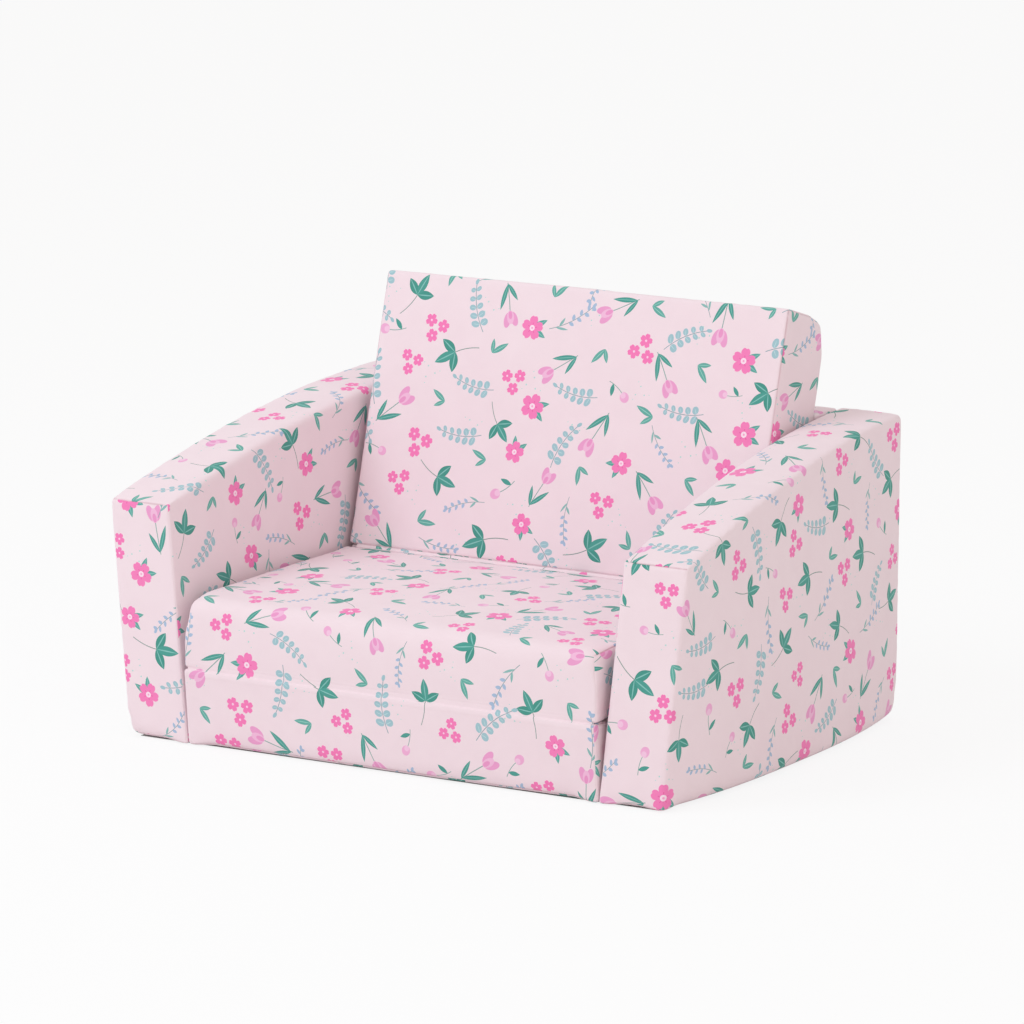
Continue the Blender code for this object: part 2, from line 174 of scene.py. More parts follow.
# Zips, each in a shallow bed in its cover
ZIP_TAPE_WIDTH = 0.025
ZIP_TAPE_THICKNESS = 0.0010
ZIP_COIL_WIDTH = 0.0044
ZIP_COIL_HEIGHT = 0.0012
ZIP_COIL_END = 0.004
ZIP_TURN_OVERLAP = 0.0006
ZIP_PITCH = 0.0017
ZIP_BED_DEPTH = 0.0012
ZIP_BED_BORDER = 0.004
FRAME_ZIP_LENGTH = 0.500
FRAME_ZIP_HEIGHT = 0.055
SEAT_ZIP_LENGTH = 0.500
BACK_ZIP_LENGTH = 0.250
THREAD = 0.0006
STITCH_LENGTH = 0.0030
STITCH_PITCH = 0.0040
STITCH_INSET = 0.0022

# Camera and light
CAMERA_AZIMUTH = math.radians(31.0)
CAMERA_ELEVATION = math.radians(11.33)
CAMERA_ROLL = math.radians(0.10)
CAMERA_LENS = 229.2
CAMERA_DISTANCE = 8.358
CAMERA_TARGET = Vector((0.0619, -0.1119, 0.3121))
LIGHT_TARGET = (0, 0, 0.25)
ROOM_LIGHT = 0.74
KEY_POWER = 76.0
FILL_POWER = 12.0
FLOOR_WHITE_SHARE = 0.85

# The print, in millimetres on the cloth. A figure is a blossom, a twig or a pair of leaves.
FIGURE_SPACING = 158.0
FIGURE_DRIFT = 16.0
SMALLEST_FIGURE_SHARE = 1.12
FIGURE_SPREAD_SHARE = 0.26


def linear(hex_colour):
    """An sRGB hex value as the linear colour that a shader takes."""
    parts = [int(hex_colour[k:k + 2], 16) / 255 for k in (1, 3, 5)]
    return [c / 12.92 if c <= 0.04045 else ((c + 0.055) / 1.055) ** 2.4 for c in parts] + [1.0]


def socket_of(value):
    """A node's first output. Anything else stands for itself."""
    if isinstance(value, bpy.types.Node):
        return next(output for output in value.outputs if output.enabled)
    return value


def add(tree, kind, *inputs, **settings):
    """Adds a node, with its operation after its kind and its other settings by name.

    What follows links or fills its sockets in order, or a dict names them.
    """
    kind, _, operation = kind.partition(" ")
    node = tree.nodes.new("ShaderNode" + kind)
    if operation:
        node.operation = operation
    for name, value in settings.items():
        setattr(node, name, value)
    sockets = [socket for socket in node.inputs if socket.enabled]
    if inputs and isinstance(inputs[0], dict):
        sockets, inputs = [node.inputs[name] for name in inputs[0]], inputs[0].values()
    for socket, value in zip(sockets, map(socket_of, inputs)):
        if isinstance(value, bpy.types.NodeSocket):
            tree.links.new(value, socket)
        else:
            socket.default_value = value
    return node


def stencil(draw):
    """Turns a function into a node group. Its inputs are annotated with the kinds of their sockets,
    and it gives its outputs by name."""
    group = bpy.data.node_groups.new(draw.__name__.replace("_", " "), 'ShaderNodeTree')
    takes = draw.__annotations__
    for label, kind in takes.items():
        group.interface.new_socket(name=label, in_out='INPUT', socket_type="NodeSocket" + kind)
    given = list(group.nodes.new("NodeGroupInput").outputs)[:len(takes)]
    gives = {label: socket_of(value) for label, value in draw(group, *given).items()}
    kinds = {'VALUE': "NodeSocketFloat", 'VECTOR': "NodeSocketVector", 'RGBA': "NodeSocketColor"}
    for label, socket in gives.items():
        group.interface.new_socket(name=label, in_out='OUTPUT', socket_type=kinds[socket.type])
    end = group.nodes.new("NodeGroupOutput").inputs
    for label, socket in gives.items():
        group.links.new(socket, end[label])
    return group


def between(tree, value, low, high):
    """One where the value lies between the two, zero elsewhere."""
    return add(tree, "Math MULTIPLY", add(tree, "Math GREATER_THAN", value, low),
               add(tree, "Math LESS_THAN", value, high))


def polar(tree, spot):
    """The angle and the length of a spot about zero."""
    place = add(tree, "SeparateXYZ", spot).outputs
    return add(tree, "Math ARCTAN2", place["Y"], place["X"]), add(tree, "VectorMath LENGTH", spot)


@stencil
def bead(group, spot: "Vector", half_width: "Float", half_height: "Float"):
    """An oval about the spot's zero."""
    halves = add(group, "CombineXYZ", half_width, half_height, 1.0)
    reach = add(group, "VectorMath LENGTH", add(group, "VectorMath DIVIDE", spot, halves))
    return {"mask": add(group, "Math LESS_THAN", reach, 1.0)}


@stencil
def leaf(group, spot: "Vector", length: "Float", half_width: "Float"):
    """A pointed leaf that grows from the spot's zero along +X, and its midrib."""
    place = add(group, "SeparateXYZ", spot).outputs
    grown = add(group, "Math DIVIDE", place["X"], length, use_clamp=True)
    fullness = add(group, "Math MULTIPLY", add(group, "Math POWER", grown, 0.85),
                   add(group, "Math SUBTRACT", 1.0, grown))
    edge = add(group, "Math MULTIPLY", fullness, add(group, "Math MULTIPLY", half_width, 3.7))
    side = add(group, "Math ABSOLUTE", place["Y"])
    return {"mask": add(group, "Math LESS_THAN", side, edge),
            "midrib": add(group, "Math LESS_THAN", side, add(group, "Math MULTIPLY", edge, 0.13))}


@stencil
def stem(group, spot: "Vector", bow: "Float", foot: "Float", tip: "Float", half_width: "Float"):
    """A thin bowed line along Y, and the spot as seen from that line made straight."""
    place = add(group, "SeparateXYZ", spot).outputs
    square = add(group, "Math MULTIPLY", place["Y"], place["Y"])
    off = add(group, "Math SUBTRACT", place["X"], add(group, "Math MULTIPLY", square, bow))
    thin = add(group, "Math LESS_THAN", add(group, "Math ABSOLUTE", off), half_width)
    return {"mask": add(group, "Math MULTIPLY", thin, between(group, place["Y"], foot, tip)),
            "straight": add(group, "CombineXYZ", off, place["Y"], 0.0)}


@stencil
def petals(group, spot: "Vector", radius: "Float"):
    """Five notched petals about the spot's zero, and their veins."""
    angle, length = polar(group, spot)
    half_lobes = add(group, "Math MULTIPLY", angle, 2.5)
    wave = add(group, "Math ABSOLUTE", add(group, "Math COSINE", half_lobes))
    outline = add(group, "Math MULTIPLY_ADD", add(group, "Math POWER", wave, 0.55), 0.50, 0.50)
    outline = add(group, "Math MULTIPLY_ADD", add(group, "Math POWER", wave, 30.0), -0.09, outline)
    reach = add(group, "Math DIVIDE", length, radius)
    return {"mask": add(group, "Math LESS_THAN", reach, outline),
            "veins": add(group, "Math MULTIPLY", add(group, "Math LESS_THAN", reach, 0.42),
                         add(group, "Math GREATER_THAN", wave, 0.965))}


@stencil
def threefold(group, spot: "Vector", distance: "Float"):
    """The spot folded about zero, so that one drawing at some distance shows three times."""
    angle, length = polar(group, spot)
    third = math.tau / 3
    sector = add(group, "Math FLOOR", add(group, "Math DIVIDE", angle, third))
    middle = add(group, "Math MULTIPLY_ADD", sector, third, third / 2)
    folded = add(group, "Math SUBTRACT", angle, middle)
    x, y = (add(group, "Math MULTIPLY", add(group, "Math " + wave, folded), length)
            for wave in ("COSINE", "SINE"))
    return {"spot": add(group, "CombineXYZ", add(group, "Math SUBTRACT", x, distance), y, 0.0)}


@stencil
def scatter(group, cloth: "Vector", shift: "Vector", seed: "Float"):
    """The cloth as seen from the middle of the nearest figure, and a chance value for each figure."""
    place = add(group, "VectorMath SCALE", cloth, 1.0 / FIGURE_SPACING)
    place = add(group, "VectorMath ADD", place, shift)
    corner = add(group, "VectorMath FLOOR", place)
    middle = add(group, "VectorMath ADD", corner, (0.5, 0.5, 0.0))
    off = add(group, "VectorMath SCALE", add(group, "VectorMath SUBTRACT", place, middle), FIGURE_SPACING)
    number = add(group, "VectorMath ADD", corner, add(group, "CombineXYZ", 0.0, 0.0, seed))
    chance = add(group, "TexWhiteNoise", number, noise_dimensions='3D').outputs
    drift = add(group, "VectorMath SUBTRACT", chance["Color"], (0.5, 0.5, 0.5))
    off = add(group, "VectorMath SUBTRACT", off, add(group, "VectorMath SCALE", drift, FIGURE_DRIFT))
    off = add(group, "VectorMath MULTIPLY", off, (1.0, 1.0, 0.0))
    turn = add(group, "Math MULTIPLY", chance["Value"], 97.0)
    turned = add(group, "VectorRotate", off, (0.0, 0.0, 0.0), turn, rotation_type='Z_AXIS')
    blue = add(group, "SeparateColor", chance["Color"]).outputs["Blue"]
    size = add(group, "Math MULTIPLY_ADD", blue, FIGURE_SPREAD_SHARE, SMALLEST_FIGURE_SHARE)
    return {"spot": add(group, "VectorMath SCALE", turned, add(group, "Math DIVIDE", 1.0, size)),
            "pick": chance["Value"]}


def strokes(group, spot, rows, where=None):
    """A row is a shape, its place, its turn in degrees, its sizes, and a colour for each of its masks.
    The strokes are (mask, colour), lowest first, and show only where the last mask is one."""
    drawn = []
    for shape, place, degrees, sizes, *colours in rows:
        here = add(group, "Mapping", spot, (*place, 0.0), (0.0, 0.0, math.radians(degrees)),
                   vector_type='TEXTURE')
        for mask, colour in zip(add(group, "Group", here, *sizes, node_tree=shape).outputs, colours):
            if where is not None:
                mask = add(group, "Math MULTIPLY", mask, where)
            drawn.append((mask, linear(colour)))
    return drawn


def figure(name, draw):
    """A figure of the print as a node group. draw(group, spot) gives its strokes."""
    def painted(group, spot: "Vector"):
        (mask, colour), *others = draw(group, spot)
        for over, shade in others:
            colour = add(group, "Mix", over, colour, shade, data_type='RGBA')
            mask = add(group, "Math MAXIMUM", mask, over)
        return {"colour": colour, "mask": mask}
    painted.__name__ = name
    return stencil(painted)


def plain_figure(name, *rows, three_at=0.0):
    """A figure of rows for strokes, or of three alike at a distance from its middle."""
    def draw(group, spot):
        near = add(group, "Group", spot, three_at, node_tree=threefold) if three_at else spot
        return strokes(group, near, rows)
    return figure(name, draw)


def along_stem(group, spot, sizes, colour, pitch, first, last):
    """The stroke of a stem, the spot as seen from it made straight, and how the spot lies to the
    nearest of the rungs along it: its place across and along, the rung's number and where it is one."""
    line = add(group, "Group", spot, *sizes, node_tree=stem).outputs
    place = add(group, "SeparateXYZ", line["straight"]).outputs
    steps = add(group, "Math MULTIPLY", place["Y"], 1.0 / pitch)
    number = add(group, "Math ROUND", steps)
    rise = add(group, "Math MULTIPLY", add(group, "Math SUBTRACT", steps, number), pitch)
    span = between(group, number, first, last)
    return [(line["mask"], linear(colour))], line["straight"], place["X"], rise, number, span


def draw_twig(group, spot):
    """Pairs of round leaves that get smaller towards the tip of a bowed twig."""
    twig, straight, across, rise, number, span = along_stem(
        group, spot, (0.0060, -27.0, 25.0, 0.40), "#8CA9B0", 8.8, -2.5, 2.5)
    size = add(group, "Math MULTIPLY_ADD", number, -0.10, 0.92)
    pair = add(group, "CombineXYZ", add(group, "Math ABSOLUTE", across), rise, 0.0)
    grown = add(group, "VectorMath SCALE", pair, add(group, "Math DIVIDE", 1.0, size))
    leaves = ((bead, (4.6, 0.8), 22, (4.0, 3.2), "#A3C7CF"), (bead, (3.6, 0.4), 22, (3.0, 0.28), "#C6DFE2"))
    tip = (bead, (0, 26.0), 0, (2.0, 3.0), "#A3C7CF")
    return twig + strokes(group, grown, leaves, span) + strokes(group, straight, (tip,))


def draw_lavender(group, spot):
    """Small buds on alternate sides of a thin stem, with two narrow leaves."""
    line, straight, across, rise, number, span = along_stem(
        group, spot, (-0.0052, -28.0, 24.0, 0.36), "#93A9AB", 4.6, -1.5, 5.5)
    sign = add(group, "Math MULTIPLY_ADD", add(group, "Math FLOORED_MODULO", number, 2.0), 2.0, -1.0)
    beside = add(group, "CombineXYZ", add(group, "Math MULTIPLY", across, sign), rise, 0.0)
    leaves = ((leaf, (0, -21), 60, (13.0, 1.25), "#8DBDB9"), (leaf, (0, -17), 124, (11.0, 1.25), "#8DBDB9"))
    bud = (bead, (2.6, 0.5), 40, (2.9, 1.75), "#A9C0DA")
    tip = (bead, (0, 25.0), 0, (1.7, 2.7), "#A9C0DA")
    return (line + strokes(group, straight, leaves) + strokes(group, beside, (bud,), span) +
            strokes(group, straight, (tip,)))


round_leaf_twig = figure("round leaf twig", draw_twig)
lavender = figure("lavender", draw_lavender)
tulip = plain_figure("tulip", (stem, (0, 0), 0, (0.0010, -27.0, 8.0, 0.50), "#8FAFA8"),
                     (leaf, (0, -25), 66, (30.0, 2.7), "#4F9F93", "#84C2B9"),
                     (leaf, (0, -25), 117, (23.0, 2.4), "#4F9F93", "#84C2B9"),
                     (bead, (-4.3, 15.5), 16, (4.3, 8.6), "#EFA3CF"),
                     (bead, (4.3, 15.5), -16, (4.3, 8.6), "#EFA3CF"),
                     (bead, (0, 13.0), 0, (4.3, 7.6), "#F5BFDD"),
                     (bead, (0, 10.5), 0, (2.4, 4.6), "#EE9CCB"))
trefoil = plain_figure("trefoil", (stem, (0, 0), 0, (-0.0085, -27.0, 2.0, 0.42), "#7F9A92"),
                       (leaf, (0, 0), 152, (20.0, 4.6), "#47978A", "#88C4BC"),
                       (leaf, (0, 0), 28, (20.0, 4.6), "#47978A", "#88C4BC"),
                       (leaf, (0, 0), 92, (25.0, 4.6), "#4F9F93", "#88C4BC"))
blossom = plain_figure("blossom", (leaf, (0, 0), -38, (19.0, 3.0), "#5FAA9F", "#92CAC1"),
                       (leaf, (0, 0), -96, (19.0, 3.0), "#5FAA9F", "#92CAC1"),
                       (petals, (0, 0), 18, (13.0,), "#F984BE", "#EE6CAB"),
                       (bead, (0, 0), 0, (3.0, 3.0), "#FFE4F0"),
                       (bead, (0, 0), 0, (1.1, 1.1), "#F7A9CF"))
small_blossoms = plain_figure("three small blossoms", (petals, (0, 0), 0, (7.2,), "#F97FBB"),
                              (bead, (0, 0), 0, (1.2, 1.2), "#FFD3E8"), three_at=9.2)
leaf_pair = plain_figure("leaf pair", (leaf, (0, -9), 64, (21.0, 2.9), "#66AEA3", "#9AD2C5"),
                         (leaf, (0, -9), 122, (15.0, 2.4), "#66AEA3", "#9AD2C5"))
bud_sprig = plain_figure("bud sprig", (stem, (0, 0), 0, (0.012, -15.0, 8.0, 0.40), "#8FAFA8"),
                         (leaf, (1.2, -10), 38, (13.0, 2.3), "#4F9F93"),
                         (bead, (1.0, 9.5), -8, (5.0, 5.6), "#F2B0D6"),
                         (bead, (0.8, 7.0), -8, (3.0, 3.1), "#F7C9E3"))
specks = plain_figure("specks", (bead, (0, 0), 0, (0.85, 0.85), "#B4DED6"),
                      (bead, (5.2, 3.4), 0, (0.55, 0.55), "#B4DED6"), three_at=6.5)


@stencil
def botanical_print(group, cloth: "Vector", ground: "Color"):
    """The print's colour for a place on the cloth in millimetres.

    Each layer is a square repeat of its own, set off from the others by shares of the spacing so
    that no two layers have a row or a column in common.
    """
    pairs = ((trefoil, tulip), (small_blossoms, bud_sprig), (round_leaf_twig, lavender),
             (blossom, leaf_pair), (tulip, trefoil), (lavender, round_leaf_twig),
             (blossom, small_blossoms), (bud_sprig, leaf_pair))
    layers = [((0.19, 0.19), (specks,)), ((0.69, 0.56), (specks,))]
    layers += [((number * 0.375 % 1.0, number * 0.125), pair) for number, pair in enumerate(pairs)]
    colour = ground
    for seed, (shift, choices) in enumerate(layers, start=1):
        near = add(group, "Group", cloth, (*shift, 0.0), float(seed), node_tree=scatter).outputs
        share = 1.0 / len(choices)
        for number, choice in enumerate(choices):
            drawn = add(group, "Group", near["spot"], node_tree=choice).outputs
            here = add(group, "Math COMPARE", near["pick"], (number + 0.5) * share, 0.5 * share)
            mask = add(group, "Math MULTIPLY", drawn["mask"], here)
            colour = add(group, "Mix", mask, colour, drawn["colour"], data_type='RGBA')
    return {"colour": colour}


def material(name):
    """Turns a function into a material of that name. The function gives its shader."""
    def made(shade):
        finish = bpy.data.materials.new(name)
        finish.use_nodes = True
        finish.node_tree.nodes.clear()
        add(finish.node_tree, "OutputMaterial", shade(finish.node_tree))
        return finish
    return made


def cloth_millimetres(tree):
    return add(tree, "VectorMath SCALE", add(tree, "UVMap", uv_map="Cloth"), 1000.0)


@material("polyester tape, woven in herringbone")
def woven_tape(tree):
    """Polyester herringbone tape, woven flat. Its slanting ribs catch the light in turn, through the bump
    and through painted light and shade in the colour.
    """
    place = add(tree, "SeparateXYZ", cloth_millimetres(tree)).outputs
    # Herringbone columns 6 mm wide, with ribs 1.2 mm apart
    run = add(tree, "Math ADD", place["X"], add(tree, "Math PINGPONG", place["Y"], 6.0))
    rib = add(tree, "Math SINE", add(tree, "Math MULTIPLY", run, math.tau / 1.2))
    # Painted light and shade: the colour is lighter on each rib's crest and darker in the groove between
    # ribs
    shade = add(tree, "MapRange", rib, -1.0, 1.0, 0.0, 1.0)
    colour = add(tree, "Mix", shade, linear("#DDC2CB"), linear("#F0DCE3"), data_type='RGBA')
    relief = add(tree, "Bump", {"Strength": 0.5, "Distance": 0.0003, "Height": rib})
    return add(tree, "BsdfPrincipled", {"Base Color": colour, "Roughness": 0.78, "Normal": relief,
                                        "Specular IOR Level": 0.3})


@material("polyester zip tape, woven")
def zip_tape_cloth(tree):
    """Polyester zip tape, woven and dyed. Fine ribs run along it, with a thread at each side of the coil."""
    place = add(tree, "SeparateXYZ", cloth_millimetres(tree)).outputs
    # Ribs 0.6 mm apart, drawn 1.25 mm apart so that they show, with a weft thread every 0.8 mm
    rib = add(tree, "Math COSINE", add(tree, "Math MULTIPLY", place["Y"], math.tau / 1.25))
    weft = add(tree, "Math SINE", add(tree, "Math MULTIPLY", place["X"], math.tau / 0.8))
    both = add(tree, "Math ADD", rib, add(tree, "Math MULTIPLY", weft, 0.35))
    # Painted light and shade: the colour is lighter where the weave stands up and darker where it sinks
    weave = add(tree, "MapRange", both, -1.35, 1.35, 0.0, 1.0)
    colour = add(tree, "Mix", weave, linear("#DDC1CB"), linear("#F0DCE3"), data_type='RGBA')
    relief = add(tree, "Bump", {"Strength": 0.5, "Distance": 0.0003, "Height": weave})
    return add(tree, "BsdfPrincipled", {"Base Color": colour, "Roughness": 0.75, "Normal": relief,
                                        "Specular IOR Level": 0.3})


@material("nylon, dyed and wound")
def nylon_coil(tree):
    """Nylon monofilament, dyed and wound. It is smooth, so each turn has a small highlight."""
    dye = add(tree, "TexNoise", add(tree, "TexCoord").outputs["Object"], 120.0, 2.0, 0.5)
    colour = add(tree, "Mix", dye, linear("#E3C6D0"), linear("#EED6DE"), data_type='RGBA')
    return add(tree, "BsdfPrincipled", {"Base Color": colour, "Roughness": 0.35, "IOR": 1.53})


@material("polyester thread, twisted")
def sewing_thread(tree):
    """Polyester thread, spun and twisted. Smoother than the cloth, so the stitches catch the light."""
    # Twist of 0.2 mm, drawn 0.5 mm so that it shows
    twist = add(tree, "TexNoise", add(tree, "TexCoord").outputs["Object"], 2000.0, 1.0, 0.5)
    colour = add(tree, "Mix", twist, linear("#E3BCC9"), linear("#F3D9E1"), data_type='RGBA')
    return add(tree, "BsdfPrincipled", {"Base Color": colour, "Roughness": 0.55})


@material("zinc alloy, nickel plated")
def nickel(tree):
    """Zinc alloy, cast and nickel plated. Handling leaves it a little dull, with fine scratches."""
    place = add(tree, "TexCoord").outputs["Object"]
    wear = add(tree, "TexNoise", place, 900.0, 3.0, 0.6)
    # Scratches of 0.05 mm, drawn 0.3 mm wide so that they show
    drawn_out = add(tree, "VectorMath MULTIPLY", place, (400.0, 3200.0, 3200.0))
    scratches = add(tree, "TexNoise", drawn_out, 1.0, 2.0, 0.5)
    rough = add(tree, "MapRange", wear, 0.3, 0.7, 0.22, 0.42)
    colour = add(tree, "Mix", wear, linear("#B4B0AA"), linear("#C9C6C1"), data_type='RGBA')
    relief = add(tree, "Bump", {"Strength": 0.08, "Distance": 0.0001, "Height": scratches})
    return add(tree, "BsdfPrincipled", {"Base Color": colour, "Metallic": 1.0, "Roughness": rough,
                                        "Normal": relief})


@material("polypropylene, spunbond")
def spunbond_felt(tree):
    """Spunbond polypropylene, bonded in small diamonds. Matt, with a pale fibre haze and pressed dots."""
    place = add(tree, "TexCoord").outputs["Object"]
    # Bonding points 1.2 mm apart, drawn 3 mm apart so that they show
    turned = add(tree, "Mapping", place, (0, 0, 0), (0, 0, math.radians(45)), (333.0, 333.0, 333.0))
    cells = add(tree, "SeparateXYZ", turned).outputs
    dots = add(tree, "Math MULTIPLY", *(add(tree, "Math PINGPONG", cells[axis], 0.5) for axis in "XY"))
    dots = add(tree, "MapRange", dots, 0.10, 0.18, 0.0, 1.0)
    fibres = add(tree, "TexNoise", place, 420.0, 4.0, 0.7)
    colour = add(tree, "Mix", fibres, linear("#B9B6B8"), linear("#D6D3D5"), data_type='RGBA')
    relief = add(tree, "Bump", {"Strength": 0.4, "Distance": 0.0003, "Height": dots})
    return add(tree, "BsdfPrincipled", {"Base Color": colour, "Roughness": 0.9, "Normal": relief,
                                        "Specular IOR Level": 0.2})


@material("brushed polyester, printed")
def printed_cloth(tree):
    """Brushed polyester, printed. Its short nap scatters the light, so it looks soft and even."""
    cloth = add(tree, "UVMap", uv_map="Cloth")
    place = add(tree, "TexCoord").outputs["Object"]
    # Dye takes a little unevenly: patches of about 40 mm
    patches = add(tree, "TexNoise", place, 25.0, 3.0, 0.5)
    ground = add(tree, "Mix", patches, linear("#F2DDE3"), linear("#F7E4E9"), data_type='RGBA')
    drawn = add(tree, "Group", cloth_millimetres(tree), ground, node_tree=botanical_print)
    # The nap: fibres of 0.1 mm in clumps, drawn 0.9 mm wide so that they show
    nap = add(tree, "TexNoise", cloth, 1100.0, 2.0, 0.6)
    # The foam shows through as soft hollows 30 mm wide
    foam = add(tree, "TexNoise", place, 30.0, 2.0, 0.5)
    soft = add(tree, "Bump", {"Strength": 0.10, "Distance": 0.004, "Height": foam})
    speck = add(tree, "Mix", nap, (0.94, 0.94, 0.94, 1.0), (1.04, 1.04, 1.04, 1.0), data_type='RGBA')
    colour = add(tree, "Mix", 1.0, drawn, speck, data_type='RGBA', blend_type='MULTIPLY')
    # Painted shade in the fold of a seam, with some dust, here more and there less
    fold = add(tree, "Math MULTIPLY", add(tree, "Attribute", attribute_name="Seam").outputs["Fac"],
               add(tree, "TexNoise", place, 12.0, 2.0, 0.5))
    colour = add(tree, "Mix", fold, colour, (0.62, 0.42, 0.45, 1.0), data_type='RGBA',
                 blend_type='MULTIPLY')
    rough = add(tree, "Math MULTIPLY_ADD", nap, 0.12, 0.76)
    return add(tree, "BsdfPrincipled", {"Base Color": colour, "Roughness": rough, "Normal": soft,
                                        "Sheen Weight": 0.18, "Sheen Roughness": 0.5,
                                        "Specular IOR Level": 0.25})


def ease(share):
    """Zero below 0, one above 1, with a soft start and end between."""
    share = np.clip(share, 0.0, 1.0)
    return share * share * (3.0 - 2.0 * share)


def read(things, name, width=3, kind=np.float32):
    """One value, or one row of values, of each thing in a mesh."""
    values = np.empty(len(things) * width, dtype=kind)
    things.foreach_get(name, values)
    return values.reshape(-1, width) if width > 1 else values


def read_points(piece):
    return read(piece.data.vertices, "co").astype(float)


def read_normals(piece):
    return read(piece.data.vertex_normals, "vector").astype(float)


def write_points(piece, points):
    piece.data.vertices.foreach_set("co", np.asarray(points, dtype=np.float32).ravel())
    piece.data.update()


def lay_cloth(piece, places):
    """Keeps where each corner of each face lies on the flat cloth."""
    layers = piece.data.uv_layers
    layer = layers[0] if layers else layers.new()
    layer.name = "Cloth"
    layer.data.foreach_set("uv", np.asarray(places, dtype=np.float32).ravel())


def corner_points(piece):
    return read(piece.data.loops, "vertex_index", 1, np.int32)


def start(name, primitive, **settings):
    """A new primitive as the only thing selected, at its size and place."""
    bpy.ops.object.select_all(action='DESELECT')
    primitive(**settings)
    piece = bpy.context.object
    piece.name = piece.data.name = name
    bpy.ops.object.transform_apply(location=True, rotation=True, scale=True)
    return piece


def select_where(piece, parts, test):
    """In edit mode, selects only those edges or faces that pass the test."""
    bpy.ops.mesh.select_all(action='DESELECT')
    mesh = bmesh.from_edit_mesh(piece.data)
    for part in getattr(mesh, parts):
        part.select_set(test(part))
    bmesh.update_edit_mesh(piece.data)


def edge_run(edge, axis):
    return abs(edge.verts[0].co[axis] - edge.verts[1].co[axis])


def cut_cloth(name, half):
    """A closed box of cloth round its middle, ruled into a lattice that is finer along its edges."""
    cover = start(name, bpy.ops.mesh.primitive_cube_add, size=2.0, location=(0, 0, 0), scale=half)
    bpy.ops.object.mode_set(mode='EDIT')
    for axis, share, side in itertools.product(range(3), EDGE_LINE_SHARES, (-1, 1)):
        normal = Vector([float(axis == other) for other in range(3)])
        bpy.ops.mesh.select_all(action='SELECT')
        bpy.ops.mesh.bisect(plane_co=normal * side * (half[axis] - share * COVER_RADIUS), plane_no=normal)
    step = CLOTH_STEP
    for axis in range(3):
        span = 2 * (half[axis] - COVER_RADIUS)
        select_where(cover, "edges", lambda edge: edge_run(edge, axis) > span - COVER_RADIUS / 10)
        bpy.ops.mesh.subdivide(number_cuts=max(1, round(span / step) - 1))
    bpy.ops.object.mode_set(mode='OBJECT')
    return cover


def share_towards(points, half, panel):
    """Zero on the panel opposite, one on the named panel."""
    axis, side = PANELS[panel]
    return np.clip((1.0 + side * points[:, axis] / half[axis]) / 2, 0.0, 1.0)


def crown(points, half, panel):
    """One in the middle of a panel, falling to zero at its edges and on the panel opposite."""
    height = share_towards(points, half, panel)
    for other in range(3):
        if other != PANELS[panel][0]:
            height = height * np.clip(1.0 - (points[:, other] / half[other]) ** 2, 0.0, 1.0)
    return height


def shared_edge(first, second):
    return "".join(sorted((first, second), key=list(PANELS).index))


